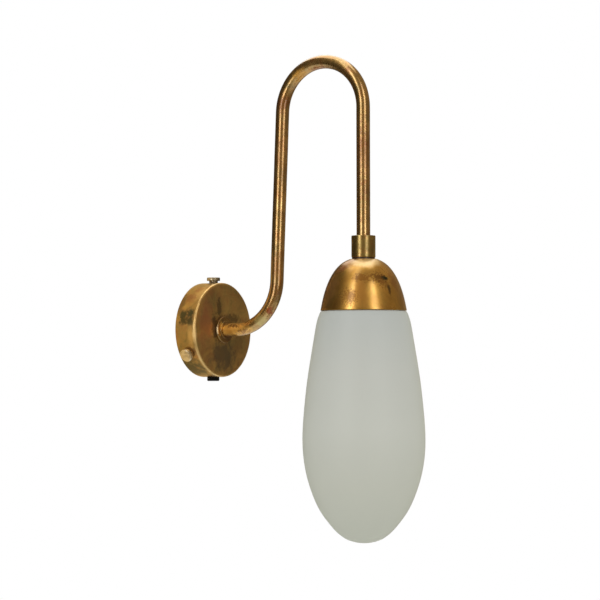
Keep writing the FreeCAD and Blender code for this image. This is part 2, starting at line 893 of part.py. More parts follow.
def holder_body():
    """Lower half of the lampholder: a seat for the contact block and a skirt around the shell."""
    body = drum(holder_radius, holder_foot, holder_split)
    body = body.makeFillet(holder_wall / 2, circles_at(body, holder_radius, holder_foot))
    body = body.cut(drum(holder_bore_radius, block_foot, holder_split + overrun))
    skirt_bore = shell_outer_radius + holder_skirt_gap
    body = body.cut(drum(skirt_bore, holder_foot - overrun, block_foot))
    return body.translated(shade_axis)


def contact_sides():
    return [point(side * contact_offset, 0, 0) for side in (-1, 1)]


def contact_block():
    """Ceramic insert that carries the contacts."""
    insert = drum(holder_bore_radius - seat_gap, block_foot, block_top)
    for place in contact_sides():
        port = drum(contact_port_radius, block_top - contact_port_depth, block_top + overrun, place)
        insert = insert.cut(port)
    return insert.translated(shade_axis)


def contact_screws():
    """Two clamp screws on top of the contact block, one beside each wire."""
    screws = []
    for place in contact_sides():
        base = shade_axis + place + point(0, contact_screw_offset, 0)
        screws.append(drum(contact_screw_radius, block_top, block_top + contact_screw_height, base))
    return Part.makeCompound(screws)


def screw_shell():
    """Plain sleeve that stands for the threaded shell of the lampholder."""
    return ring(shell_outer_radius, shell_inner_radius, block_foot - shell_length, block_foot, shade_axis)


def centre_contact():
    """Springy leaf under the contact block that touches the bulb's tip."""
    half_length = contact_leaf_length / 2
    step = half_length / 2
    top = block_foot
    outer = [
        point(-half_length, 0, top),
        point(-half_length, 0, top - contact_leaf_thick),
        point(-step, 0, contact_top),
        point(step, 0, contact_top),
        point(step, 0, contact_top + contact_leaf_thick),
        point(-step, 0, contact_top + contact_leaf_thick),
        point(-half_length + contact_leaf_thick, 0, top),
    ]
    leaf = Part.Face(Part.makePolygon(outer + outer[0:1])).extrude(point(0, contact_leaf_width, 0))
    leaf.translate(shade_axis - point(0, contact_leaf_width / 2, 0))
    return leaf


# Bulb

def bulb_flank():
    """Outer outline of the bulb's glass, from its base to the edge of the tip."""
    length = bulb_glass_top - bulb_tip
    points = []
    for drop_share, radius_share in bulb_flank_shares:
        points.append(point(bulb_radius * radius_share, 0, bulb_glass_top - length * drop_share))
    return points


def bulb_glass():
    """Thin candle-shaped envelope, open at the top where it enters the base."""
    flank = bulb_flank()
    envelope = pear(flank, bulb_tip)
    inner_flank = moved_in(flank, bulb_wall)
    hollow = pear(inner_flank, bulb_tip + bulb_wall)
    mouth = drum(inner_flank[0].x, inner_flank[0].z - bulb_wall, bulb_glass_top + overrun)
    return envelope.cut(hollow.fuse(mouth)).translated(shade_axis)


def bulb_base():
    """Screw base of the bulb, as a plain thin cup with a rounded crown."""
    cup = drum(bulb_base_radius, bulb_glass_top, bulb_base_top)
    cup = cup.makeFillet(bulb_base_edge_radius, circles_at(cup, bulb_base_radius, bulb_base_top))
    ceiling = bulb_base_top - bulb_base_edge_radius
    cup = cup.cut(drum(bulb_base_radius - bulb_base_wall, bulb_glass_top - overrun, ceiling))
    return cup.translated(shade_axis)


def bulb_contact():
    return drum(bulb_contact_radius, bulb_base_top, contact_top, shade_axis)


def sub_parts():
    """Every sub-part of the lamp by name."""
    parts = {
        "wall_bracket": wall_bracket(),
        "canopy": canopy(),
        "cable_grommet": cable_grommet(),
        "terminal_block": terminal_block(),
        "terminal_screws": terminal_screws(),
        "block_fixing_screws": block_fixing_screws(),
        "root_flange": root_flange(),
        "root_nipple": root_nipple(),
        "root_lock_washer": root_lock_washer(),
        "earth_tag": earth_tag(),
        "root_locknut": root_locknut(),
        "arm_tube": arm_tube(),
        "wire_live": lamp_wire(-1),
        "wire_neutral": lamp_wire(1),
        "wire_earth": wire_earth(),
        "head_collar": head_collar(),
        "collar_washer": collar_washer(),
        "head_nipple": head_nipple(),
        "cap": cap(),
        "cap_locknut": cap_locknut(),
        "gallery_plate": gallery_plate(),
        "gallery_locknut": gallery_locknut(),
        "neck_gasket": neck_gasket(),
        "shade_springs": shade_springs(),
        "glass_shade": glass_shade(),
        "holder_dome": holder_dome(),
        "holder_body": holder_body(),
        "contact_block": contact_block(),
        "contact_screws": contact_screws(),
        "screw_shell": screw_shell(),
        "centre_contact": centre_contact(),
        "bulb_glass": bulb_glass(),
        "bulb_base": bulb_base(),
        "bulb_contact": bulb_contact(),
    }
    for side, angle in side_screw_angles.items():
        parts["canopy_screw_" + side] = side_screw(angle)
    return parts


os.makedirs("parts", exist_ok=True)
for name, shape in sub_parts().items():
    print(name, "solids", len(shape.Solids), "valid", shape.isValid(), "volume", round(shape.Volume, 2))
    shape.exportStep("parts/" + name + ".step")
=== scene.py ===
import logging
import math
from dataclasses import dataclass
from enum import Enum
from typing import Any, Mapping, Sequence

import bpy
import numpy as np
from mathutils import Matrix, Quaternion, Vector


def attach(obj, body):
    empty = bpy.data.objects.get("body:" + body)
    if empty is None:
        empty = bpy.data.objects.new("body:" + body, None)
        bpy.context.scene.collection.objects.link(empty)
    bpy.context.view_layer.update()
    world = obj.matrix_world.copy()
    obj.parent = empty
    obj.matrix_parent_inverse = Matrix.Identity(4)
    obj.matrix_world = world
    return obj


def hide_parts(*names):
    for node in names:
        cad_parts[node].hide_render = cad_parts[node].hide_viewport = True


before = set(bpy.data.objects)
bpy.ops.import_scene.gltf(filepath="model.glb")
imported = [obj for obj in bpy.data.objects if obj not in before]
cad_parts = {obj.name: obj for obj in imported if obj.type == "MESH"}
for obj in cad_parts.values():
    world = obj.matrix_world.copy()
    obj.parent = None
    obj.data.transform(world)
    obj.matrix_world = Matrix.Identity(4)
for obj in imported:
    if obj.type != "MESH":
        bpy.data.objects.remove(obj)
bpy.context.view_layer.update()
log = logging.getLogger("wall_lamp")

MM = 0.001
ORIGIN = Vector((0, 0, 0))
UP = Vector((0, 0, 1))
DOWN = Vector((0, 0, -1))
OUT = Vector((0, -1, 0))
# The shade, the cap and the lampholder hang on this upright axis
SHADE_AXIS = Vector((0, -174.146, 0))

# Short names for types
Point = tuple[float, float]
Range = tuple[float, float]
Triple = tuple[float, float, float]
Stops = Sequence[tuple[float, str]]
Piece = bpy.types.Object
Tree = bpy.types.NodeTree
Node = bpy.types.Node
Source = bpy.types.Node | bpy.types.NodeSocket
Inputs = Mapping[str | int, Any]

# Places of the two colour inputs on a Mix node
MIX_A = 6
MIX_B = 7

# The setting of a Map Range node that eases both ends
SMOOTH = {"interpolation_type": "SMOOTHSTEP"}


# Colours and nodes

def linear(hex_colour: str) -> tuple[float, float, float, float]:
    """Turns an sRGB colour into linear light.

    Args:
        hex_colour: The colour as #rrggbb.

    Returns:
        Red, green, blue and an alpha of one.
    """
    shares = [int(hex_colour[place:place + 2], 16) / 255 for place in (1, 3, 5)]
    red, green, blue = (s / 12.92 if s <= 0.04045 else ((s + 0.055) / 1.055) ** 2.4 for s in shares)
    return red, green, blue, 1.0


def scale_of(size: float) -> float:
    """Returns the scale at which a texture's pattern has a size in millimetres."""
    return 1 / (size * MM)


def empty_tree(owner: bpy.types.Material | bpy.types.World) -> Tree:
    """Turns on the nodes of a material or a world and clears them.

    Args:
        owner: The material or the world.

    Returns:
        Its node tree, with nothing in it.
    """
    owner.use_nodes = True
    owner.node_tree.nodes.clear()
    return owner.node_tree


def add_node(tree: Tree, kind: str, inputs: Inputs | None = None, **settings: Any) -> Node:
    """Adds one node with its settings, its input values and the links into it.

    Args:
        tree: The node tree that gets the node.
        kind: The node's type name without the ShaderNode in front.
        inputs: What its inputs get, by name or place: a constant, the output of another node, or another
            node, which gives its first output in use.
        settings: The node's own properties.

    Returns:
        The new node.
    """
    node = tree.nodes.new("ShaderNode" + kind)
    for key, value in settings.items():
        setattr(node, key, value)
    for key, value in (inputs or {}).items():
        if isinstance(value, bpy.types.Node):
            value = next(output for output in value.outputs if output.enabled)
        if isinstance(value, bpy.types.NodeSocket):
            tree.links.new(value, node.inputs[key])
        else:
            node.inputs[key].default_value = value
    return node


def set_stops(ramp: Node, stops: Stops) -> None:
    """Gives a colour ramp its stops.

    Args:
        ramp: The colour ramp node.
        stops: Positions with their hex colours, in rising order.
    """
    elements = ramp.color_ramp.elements
    while len(elements) < len(stops):
        elements.new(1.0)
    for element, (position, colour) in zip(elements, stops):
        element.position = position
        element.color = linear(colour)


def clouded(
    tree: Tree, coords: Source, size: float, stops: Stops, channel: str = "Fac", **form: float
) -> tuple[Node, Node]:
    """Builds soft clouds and the colours that they drift between.

    Args:
        tree: The node tree that gets them.
        coords: Object coordinates.
        size: Size of the clouds, in millimetres.
        stops: Levels of the clouds with their hex colours, in rising order.
        channel: The output of the noise that picks the colour.
        form: Further inputs of the noise.

    Returns:
        The noise and its colour ramp.
    """
    clouds = add_node(tree, "TexNoise", {"Vector": coords, "Scale": scale_of(size), **form})
    colours = add_node(tree, "ValToRGB", {"Fac": clouds.outputs[channel]})
    set_stops(colours, stops)
    return clouds, colours


# Finishes

@dataclass(frozen=True)
class StainOrPaintedLight:
    """One mark at its own place on a piece: tarnish, a painted highlight or a painted shade.

    Attributes:
        place: Centre of the mark, in millimetres.
        reach: Half sizes of the mark along X, Y and Z, in millimetres.
        colour: The colour at its heart.
        strength: How much of the metal's own colour it covers.
        ragged: How far noise breaks up its edge, as a share of its reach.
        grain: Size of that noise, in millimetres.
    """

    place: Triple
    reach: Triple
    colour: str
    strength: float
    ragged: float
    grain: float

    def mask(self, tree: Tree, coords: Source) -> Node:
        """Builds the factor that is high inside the mark.

        Args:
            tree: The material's node tree.
            coords: Object coordinates.

        Returns:
            The node that gives the factor.
        """
        place, reach = ([v * MM for v in sizes] for sizes in (self.place, self.reach))
        local = add_node(
            tree, "Mapping", {"Vector": coords, "Location": place, "Scale": reach}, vector_type="TEXTURE"
        )
        distance = add_node(tree, "VectorMath", {0: local}, operation="LENGTH")
        form = {"Scale": scale_of(self.grain), "Detail": 5.0, "Roughness": 0.62}
        noise = add_node(tree, "TexNoise", {"Vector": coords, **form})
        # the noise adds half the spread on average, and the limits below make up for it
        spread = 4 * self.ragged
        broken = add_node(tree, "Math", {0: noise, 1: spread, 2: distance}, operation="MULTIPLY_ADD")
        start, end = 0.35 + spread / 2, 1.0 + spread / 2
        levels = {"From Min": start, "From Max": end, "To Min": self.strength, "To Max": 0.0}
        return add_node(tree, "MapRange", {"Value": broken, **levels}, **SMOOTH)


@dataclass(frozen=True)
class WornRingAndHighlight:
    """An edge around a turned piece that hands and cloths have rubbed bright, lightened further by a painted
    highlight.

    Attributes:
        radius: Distance from the piece's axis, in millimetres.
        station: Place along the axis, in millimetres.
        reach: How far the wear spreads, in millimetres.
        colour: The colour of the rubbed metal and of its painted highlight.
        strength: How bright it is at most.
    """

    radius: float
    station: float
    reach: float
    colour: str
    strength: float

    def mask(self, tree: Tree, place: Source, broken: Source) -> Node:
        """Builds the factor that is high on the rubbed edge and its painted highlight.

        Args:
            tree: The material's node tree.
            place: Radius and station.
            broken: Noise that breaks up the wear.

        Returns:
            The node that gives the factor.
        """
        edge = (self.radius * MM, self.station * MM, 0.0)
        gap = add_node(tree, "VectorMath", {0: place, 1: edge}, operation="DISTANCE")
        reach = self.reach * MM
        levels = {"From Min": 0.2 * reach, "From Max": reach, "To Min": self.strength, "To Max": 0.0}
        near = add_node(tree, "MapRange", {"Value": gap, **levels}, **SMOOTH)
        levels = {"From Min": 0.30, "From Max": 0.55, "To Min": 0.25}
        uneven = add_node(tree, "MapRange", {"Value": broken, **levels})
        return add_node(tree, "Math", {0: near, 1: uneven}, operation="MULTIPLY")


@dataclass(frozen=True)
class Finish:
    """A surface finish that makes its material once and gives it to any number of pieces.

    Attributes:
        name: What the real material is called.
    """

    name: str

    def surface(self, tree: Tree, coords: Source) -> Inputs:
        """Builds what feeds the finish's shader.

        Args:
            tree: The material's node tree.
            coords: Object coordinates.

        Returns:
            The shader's inputs.
        """
        raise NotImplementedError

    def material(self) -> bpy.types.Material:
        """Makes the finish's material, unless it is there already.

        Returns:
            The material.
        """
        name = self.name + "_finish"
        made = bpy.data.materials.get(name)
        if made is None:
            made = bpy.data.materials.new(name)
            tree = empty_tree(made)
            coords = add_node(tree, "TexCoord").outputs["Object"]
            shader = add_node(tree, "BsdfPrincipled", self.surface(tree, coords))
            add_node(tree, "OutputMaterial", {"Surface": shader})
        return made

    def dress(self, piece: Piece) -> None:
        """Puts the finish on a piece as its only material."""
        piece.data.materials.clear()
        piece.data.materials.append(self.material())


@dataclass(frozen=True)
class Metal(Finish):
    """Bare metal whose gloss follows its clouds.

    Attributes:
        roughness: Lowest and highest roughness.
    """

    roughness: Range = (0.22, 0.36)

    def gloss(self, tree: Tree, clouds: Source) -> Node:
        """Builds the roughness, which is lowest where the clouds are bright.

        Args:
            tree: The material's node tree.
            clouds: The noise that makes the clouds.

        Returns:
            The node that gives the roughness.
        """
        low, high = self.roughness
        levels = {"From Min": 0.35, "From Max": 0.65, "To Min": high, "To Max": low}
        return add_node(tree, "MapRange", {"Value": clouds, **levels})


@dataclass(frozen=True, kw_only=True)
class AgedBrass(Metal):
    """Raw brass that has been browned with acid, rubbed back by hand and left to tarnish.

    It shows warm clouds from gold to brown that drift to olive and to copper, a fine mottle, dark pits,
    faint tool lines and marks, some of which are painted highlights and painted shade.

    Attributes:
        gold: Colour where the metal is rubbed bright.
        brown: Colour of the ordinary tarnish.
        dark: Colour of the deepest tarnish.
        cloud: Size of the broad clouds, in millimetres.
        bright_from: Noise level from which the metal is bright, so less is brighter.
        pit_share: How much of the surface has pits.
        olive: Colour where the tarnish is greenish.
        copper: Colour where it is reddish.
        drift: How far the colour drifts to these two.
        line_depth: Depth of the tool lines, in millimetres.
        grain_depth: Depth of the fine grain, in millimetres.
        pit_depth: Depth of the pits, in millimetres.
        wax: How much of the surface has a clear film of wax, which whitens the highlights.
        wax_roughness: Roughness of that film.
        line_axis: Axis that the tool lines run around.
        line_centre: A place on that axis, in millimetres.
        worn_and_highlight: The edge that is rubbed bright and painted brighter as a highlight, if any.
        stains_and_painted_light: Marks of tarnish, painted highlights and painted shade, each at its own
            place.
    """

    gold: str
    brown: str
    dark: str
    cloud: float
    bright_from: float
    pit_share: float
    olive: str = "#8A7A42"
    copper: str = "#B0653A"
    drift: float = 0.35
    line_depth: float = 0.003
    grain_depth: float = 0.006
    pit_depth: float = 0.06
    wax: float = 0.5
    wax_roughness: float = 0.14
    line_axis: Triple = (0.0, 0.0, 1.0)
    line_centre: Triple = tuple(SHADE_AXIS)
    worn_and_highlight: WornRingAndHighlight | None = None
    stains_and_painted_light: tuple[StainOrPaintedLight, ...] = ()

    def around_axis(self, tree: Tree, coords: Source) -> Node:
        """Builds coordinates that are the same all round the axis: the radius and the station.

        Args:
            tree: The material's node tree.
            coords: Object coordinates.

        Returns:
            The node that gives them as X and Y.
        """
        turn = tuple(UP.rotation_difference(Vector(self.line_axis)).to_euler())
        centre = [v * MM for v in self.line_centre]
        local = add_node(
            tree, "Mapping", {"Vector": coords, "Location": centre, "Rotation": turn}, vector_type="TEXTURE"
        )
        flat = add_node(tree, "VectorMath", {0: local, 1: (1.0, 1.0, 0.0)}, operation="MULTIPLY")
        radius = add_node(tree, "VectorMath", {0: flat}, operation="LENGTH")
        parts = add_node(tree, "SeparateXYZ", {"Vector": local})
        return add_node(tree, "CombineXYZ", {"X": radius, "Y": parts.outputs["Z"]})

    def pits(self, tree: Tree, coords: Source) -> Node:
        """Builds small dark pits that gather in patches.

        Args:
            tree: The material's node tree.
            coords: Object coordinates.

        Returns:
            The node that gives how dark a pit is.
        """
        warp = add_node(tree, "TexNoise", {"Vector": coords, "Scale": scale_of(1.2)}).outputs["Color"]
        wander = (1.4 * MM,) * 3
        shifted = add_node(tree, "VectorMath", {0: warp, 1: wander, 2: coords}, operation="MULTIPLY_ADD")
        cells = add_node(tree, "TexVoronoi", {"Vector": shifted, "Scale": scale_of(2.6)})
        levels = {"From Min": 0.10, "From Max": 0.30, "To Min": 1.0, "To Max": 0.0}
        dots = add_node(tree, "MapRange", {"Value": cells, **levels}, **SMOOTH)
        patches = add_node(tree, "TexNoise", {"Vector": coords, "Scale": scale_of(11), "Detail": 3.0})
        start = 0.70 - 0.3 * self.pit_share
        levels = {"From Min": start, "From Max": start + 0.15}
        where = add_node(tree, "MapRange", {"Value": patches, **levels}, **SMOOTH)
        return add_node(tree, "Math", {0: dots, 1: where}, operation="MULTIPLY")

    def surface(self, tree: Tree, coords: Source) -> Inputs:
        """Builds the aged brass.

        Args:
            tree: The material's node tree.
            coords: Object coordinates.

        Returns:
            The shader's inputs.
        """
        start, step = self.bright_from, 0.16
        shades = ((start - step, self.dark), (start, self.brown), (start + step, self.gold))
        clouds, tones = clouded(
            tree, coords, self.cloud, shades, Detail=5.0, Roughness=0.55, Distortion=0.7
        )
        hues, tints = clouded(
            tree, coords, 0.55 * self.cloud, ((0.36, self.olive), (0.50, self.gold), (0.64, self.copper)),
            channel="Color", Detail=4.0, Roughness=0.6, Distortion=1.2,
        )
        colour = add_node(tree, "Mix", {0: self.drift, MIX_A: tones, MIX_B: tints}, data_type="RGBA")
        form = {"Scale": scale_of(2.4), "Detail": 3.0, "Roughness": 0.6}
        mottle = add_node(tree, "TexNoise", {"Vector": coords, **form})
        levels = {"From Min": 0.34, "From Max": 0.62, "To Min": 0.28, "To Max": 0.0}
        depth = add_node(tree, "MapRange", {"Value": mottle, **levels})
        pits = self.pits(tree, coords)
        # each mark is tarnish, a painted highlight or a painted shade
        marks = [(spot.mask(tree, coords), spot.colour) for spot in self.stains_and_painted_light]
        # the pits and all marks, painted highlights and painted shade included, raise the roughness
        tarnish = pits
        for mask, _ in marks:
            tarnish = add_node(tree, "Math", {0: tarnish, 1: mask}, operation="MAXIMUM")
        place = self.around_axis(tree, coords)
        if self.worn_and_highlight is not None:
            marks.append((self.worn_and_highlight.mask(tree, place, hues), self.worn_and_highlight.colour))
        for mask, tint in ((depth, self.brown), (pits, self.dark), *marks):
            layer = {0: mask, MIX_A: colour, MIX_B: linear(tint)}
            colour = add_node(tree, "Mix", layer, data_type="RGBA")
        dulling = 0.16
        dulled = {0: tarnish, 1: dulling, 2: self.gloss(tree, clouds)}
        rough = add_node(tree, "Math", dulled, operation="MULTIPLY_ADD", use_clamp=True)
        # real tool lines are about 0.1 mm apart; they are drawn at 0.8 mm so that they show
        rings = add_node(tree, "TexNoise", {"Vector": place, "Scale": scale_of(0.8), "Detail": 1.0})
        below: Inputs = {}
        for height, strength, reach, sunk in (
            (rings, 0.5, self.line_depth, False),
            (mottle, 0.6, self.grain_depth, False),
            (pits, 0.6, self.pit_depth, True),
        ):
            relief = {"Height": height, "Strength": strength, "Distance": reach * MM}
            below = {"Normal": add_node(tree, "Bump", {**relief, **below}, invert=sunk)}
        wax = {"Coat Weight": self.wax, "Coat Roughness": self.wax_roughness}
        return {"Base Color": colour, "Metallic": 1.0, "Roughness": rough, **below, **wax}


@dataclass(frozen=True, kw_only=True)
class CleanMetal(Metal):
    """Turned, rolled or plated metal without patina: a steady colour with fine lines and soft clouds.

    Attributes:
        colour: The metal's colour.
        tint: The colour of the clouds in it.
        cloud: Size of the clouds, in millimetres.
        line: Spacing of the fine lines, in millimetres.
        line_depth: Depth of the lines, in millimetres.
        stretch: Direction in which the lines are close together.
    """

    colour: str
    tint: str
    cloud: float = 6.0
    line: float = 0.5
    line_depth: float = 0.004
    stretch: Triple = (0.1, 0.1, 1.0)

    def surface(self, tree: Tree, coords: Source) -> Inputs:
        """Builds the clean metal.

        Args:
            tree: The material's node tree.
            coords: Object coordinates.

        Returns:
            The shader's inputs.
        """
        clouds, colours = clouded(
            tree, coords, self.cloud, ((0.36, self.tint), (0.62, self.colour)), Detail=4.0, Distortion=0.4
        )
        drawn = add_node(tree, "Mapping", {"Vector": coords, "Scale": self.stretch})
        lines = add_node(tree, "TexNoise", {"Vector": drawn, "Scale": scale_of(self.line), "Detail": 3.0})
        depth = self.line_depth * MM
        relief = add_node(tree, "Bump", {"Height": lines, "Strength": 0.6, "Distance": depth})
        gloss = self.gloss(tree, clouds)
        return {"Base Color": colours, "Metallic": 1.0, "Roughness": gloss, "Normal": relief}


@dataclass(frozen=True)
class Skin(Finish):
    """A surface that isn't bare metal, whose roughness wavers with a fine grain."""

    def uneven(self, tree: Tree, grain: Source, roughness: float, spread: float) -> Node:
        """Builds a roughness that a grain varies.

        Args:
            tree: The material's node tree.
            grain: The noise that varies it.
            roughness: The roughness in the middle.
            spread: How far it goes either side.

        Returns:
            The node that gives the roughness.
        """
        levels = {"To Min": roughness - spread, "To Max": roughness + spread}
        return add_node(tree, "MapRange", {"Value": grain, **levels})


@dataclass(frozen=True, kw_only=True)
class Moulding(Skin):
    """Moulded plastic, rubber or ceramic with a slight orange-peel skin.

    Attributes:
        colour: The material's colour.
        shade: The colour of its faint clouds.
        roughness: Roughness of the skin.
        cloud: Size of the clouds, in millimetres.
        peel: Grain of the skin, in millimetres.
        peel_depth: Depth of the grain, in millimetres.
        ior: How strongly the skin mirrors light.
    """

    colour: str
    shade: str
    roughness: float
    cloud: float = 5.0
    peel: float = 0.5
    peel_depth: float = 0.01
    ior: float = 1.5

    def surface(self, tree: Tree, coords: Source) -> Inputs:
        """Builds the moulded material.

        Args:
            tree: The material's node tree.
            coords: Object coordinates.

        Returns:
            The shader's inputs.
        """
        _, colours = clouded(tree, coords, self.cloud, ((0.36, self.shade), (0.60, self.colour)), Detail=4.0)
        skin = add_node(tree, "TexNoise", {"Vector": coords, "Scale": scale_of(self.peel)})
        rough = self.uneven(tree, skin, self.roughness, 0.06)
        depth = self.peel_depth * MM
        relief = add_node(tree, "Bump", {"Height": skin, "Strength": 0.7, "Distance": depth})
        return {"Base Color": colours, "IOR": self.ior, "Roughness": rough, "Normal": relief}


@dataclass(frozen=True)
class BlownGlass(Skin):
    """Blown glass with an acid-etched or coated skin: satin, milky, and faintly see-through.

    Attributes:
        colours: The colours of the wall seen square on, from its top to its foot, evenly spaced. The default
            set holds the glass's grey-green and paints shade under the cap and towards the foot.
        edge: The colour where the wall is seen along its length.
        top: Height of the first colour, in millimetres.
        foot: Height of the last colour, in millimetres.
        roughness: Roughness of the etched skin.
        clear: Share of the light that passes straight in.
        cloud: Size of the faint clouds in the etching, in millimetres.
        frost_depth: Depth of the etched grain, in millimetres.
    """

    # grey-green glass, painted darker at the top under the cap and towards the foot as shade
    colours: tuple[str, ...] = ("#CED2CC", "#D8DAD1", "#DCDED3", "#D8DACC", "#D0D3C4")
    edge: str = "#D6D9C8"
    top: float = 14.0
    foot: float = -186.0
    roughness: float = 0.55
    clear: float = 0.25
    cloud: float = 24.0
    frost_depth: float = 0.004

    def surface(self, tree: Tree, coords: Source) -> Inputs:
        """Builds the etched glass.

        Args:
            tree: The material's node tree.
            coords: Object coordinates.

        Returns:
            The shader's inputs.
        """
        height = add_node(tree, "SeparateXYZ", {"Vector": coords}).outputs["Z"]
        levels = {"From Min": self.top * MM, "From Max": self.foot * MM}
        low = add_node(tree, "MapRange", {"Value": height, **levels})
        body = add_node(tree, "ValToRGB", {"Fac": low})
        last = len(self.colours) - 1
        set_stops(body, tuple((place / last, colour) for place, colour in enumerate(self.colours)))
        facing = add_node(tree, "LayerWeight", {"Blend": 0.5}).outputs["Facing"]
        grazing = add_node(tree, "Math", {0: facing, 1: 2.5}, operation="POWER")
        layer = {0: grazing, MIX_A: body, MIX_B: linear(self.edge)}
        colour = add_node(tree, "Mix", layer, data_type="RGBA")
        form = {"Scale": scale_of(self.cloud), "Detail": 3.0}
        clouds = add_node(tree, "TexNoise", {"Vector": coords, **form})
        rough = self.uneven(tree, clouds, self.roughness, 0.08)
        frost = add_node(tree, "TexNoise", {"Vector": coords, "Scale": scale_of(0.5)})
        depth = self.frost_depth * MM
        relief = add_node(tree, "Bump", {"Height": frost, "Strength": 0.4, "Distance": depth})
        glass = {"IOR": 1.5, "Transmission Weight": self.clear}
        return {"Base Color": colour, "Roughness": rough, "Normal": relief, **glass}


class Coat(Enum):
    """Every finish on the lamp."""

    # brass sheet spun to a cup, browned with acid and rubbed back: dull clouds, dark blots, a bright rim that
    # is part wear and part painted highlight, and painted shade on its lower side and against the wall
    CANOPY_BRASS = AgedBrass(
        "acid_browned_spun_brass_canopy", gold="#D1B270", brown="#B28F5A", dark="#7C6E46", olive="#8A8A58",
        copper="#B47450", cloud=24.0, bright_from=0.50, roughness=(0.30, 0.42), pit_share=0.1, wax=0.25,
        line_axis=(0.0, -1.0, 0.0), line_centre=(0.0, 0.0, 0.0),
        # the rim's ring is rubbed brass, brightened further as a painted highlight
        worn_and_highlight=WornRingAndHighlight(42.4, 21.4, 2.2, "#ECC680", 0.6),
        stains_and_painted_light=(
            StainOrPaintedLight((-27.5, -15.5, 33), (14, 7, 13), "#D2AE6C", 0.6, 0.3, 8),
            # painted shade: darkens the lower part of the side band
            StainOrPaintedLight((-25.4, -6.6, -34.7), (22, 17, 14), "#5E5A3E", 0.85, 0.45, 7),
            # painted shade: darkens the upper side where it meets the wall
            StainOrPaintedLight((-36, -2, 24), (9, 6, 20), "#6E5A38", 0.7, 0.4, 6),
            StainOrPaintedLight((-31.5, -8.5, 29), (7, 7, 8), "#9A6440", 0.6, 0.7, 5),
            StainOrPaintedLight((-24, -12, 36), (6, 5, 4), "#A8643E", 0.45, 0.7, 4),
            StainOrPaintedLight((-41.3, -12.1, 11.5), (7, 10, 9), "#80603C", 0.7, 0.35, 3),
            StainOrPaintedLight((-41, -7.6, 13.4), (7, 6, 5.6), "#4C4A2E", 0.92, 0.4, 3),
            StainOrPaintedLight((-40.4, -15.4, 14.7), (7, 6, 5.6), "#4A4A30", 0.92, 0.4, 3),
            StainOrPaintedLight((-42, -8.7, 7.8), (7, 6.2, 5.2), "#524A2C", 0.92, 0.4, 3),
            StainOrPaintedLight((-42.3, -15.5, 6.8), (7, 5.6, 5.6), "#504A2E", 0.92, 0.4, 3),
            # painted highlight: these two lighten the rim's left middle, pale gold beside cream
            StainOrPaintedLight((-41.8, -17.5, -5), (5, 6, 11), "#E6C078", 0.7, 0.3, 6),
            StainOrPaintedLight((-42, -20.9, -3), (2.6, 2.6, 13), "#FFE4A8", 0.85, 0.3, 4),
            StainOrPaintedLight((-26.2, -22, 6.5), (14, 3, 27), "#A4704C", 0.75, 0.3, 10),
            StainOrPaintedLight((1, -22, -24), (25, 3, 18), "#625440", 0.8, 0.45, 8),
            StainOrPaintedLight((-7, -22, 19), (5, 3, 11), "#54482C", 0.75, 0.6, 4),
            StainOrPaintedLight((-13, -22, 2), (6.5, 3, 16), "#503C26", 0.8, 0.45, 5),
            StainOrPaintedLight((13, -22, 10), (18, 3, 6), "#5A4A2E", 0.7, 0.5, 5),
            StainOrPaintedLight((22, -22, -14), (9, 3, 11), "#8C6E44", 0.6, 0.5, 5),
        ),
    )
    # drawn brass tube, browned and waxed: smooth skin, sharp pale streaks between dark brown edges, with a
    # painted highlight and painted shade at its root
    ARM_BRASS = AgedBrass(
        "acid_browned_drawn_brass_tube", gold="#D0A96A", brown="#A07C42", dark="#644824", olive="#86844E",
        copper="#A66034", cloud=17.0, drift=0.4, bright_from=0.46, roughness=(0.23, 0.30), pit_share=0.05,
        line_depth=0.0005, grain_depth=0.001, wax=1.0, wax_roughness=0.13,
        stains_and_painted_light=(
            StainOrPaintedLight((-5, -68, 8), (7, 10, 8), "#CCBC7A", 0.65, 0.5, 4),
            StainOrPaintedLight((-4.7, -76.5, 16.3), (5, 4.5, 5), "#984408", 0.9, 0.5, 3),
            # painted highlight: a bright gold wash over the root of the tube
            StainOrPaintedLight((-5, -38, 0), (9, 26, 9), "#FFC966", 0.95, 0.3, 6),
            # painted shade: a dark broken band along the root's upper edge
            StainOrPaintedLight((-6, -37, 3.8), (5, 9, 2.6), "#7A4A1A", 0.85, 0.8, 1.8),
            StainOrPaintedLight((-6, -50, -2), (4, 9, 3.2), "#94602A", 0.7, 0.9, 2),
            StainOrPaintedLight((-4.8, -91, 201), (9, 12, 9), "#7A4420", 0.7, 0.6, 4),
            StainOrPaintedLight((-5, -90, 150), (9, 9, 30), "#7E5426", 0.5, 0.8, 5),
            StainOrPaintedLight((-5, -87, 58), (9, 9, 22), "#8A5C2C", 0.5, 0.8, 5),
            StainOrPaintedLight((-5, -112, 224), (9, 13, 9), "#D29A3C", 0.7, 0.5, 5),
            StainOrPaintedLight((-5, -130, 228), (9, 12, 5), "#94501C", 0.7, 0.6, 3),
            StainOrPaintedLight((-5, -160, 224), (9, 7, 6), "#8A5838", 0.5, 0.6, 4),
            StainOrPaintedLight((-5, -177, 150), (9, 9, 34), "#844A24", 0.55, 0.8, 5),
        ),
    )
    # brass turned from bar and browned, with painted highlights on its left side and painted shade on its
    # lower right
    ROSETTE_BRASS = AgedBrass(
        "acid_browned_turned_brass_rosette", gold="#AA8A54", brown="#86683C", dark="#54442A", olive="#7A7A4A",
        copper="#8E5A38", cloud=7.0, bright_from=0.50, roughness=(0.26, 0.36), pit_share=0.3,
        wax=0.3, line_axis=(0.0, -1.0, 0.0), line_centre=(0.0, 0.0, 0.0),
        stains_and_painted_light=(
            # painted highlight: gold on the hub's upper left, then cream glints on the rim's left edge
            StainOrPaintedLight((-6.8, -25, 4.5), (3, 2, 5), "#D8B060", 0.8, 0.4, 2),
            StainOrPaintedLight((-11.7, -24, -0.5), (1.6, 2, 5.5), "#FFE6B8", 0.95, 0.4, 2),
            # painted shade: darkens the rosette's lower right
            StainOrPaintedLight((4, -24.5, -6), (9, 3, 6), "#6A4E30", 0.85, 0.3, 4),
        ),
    )
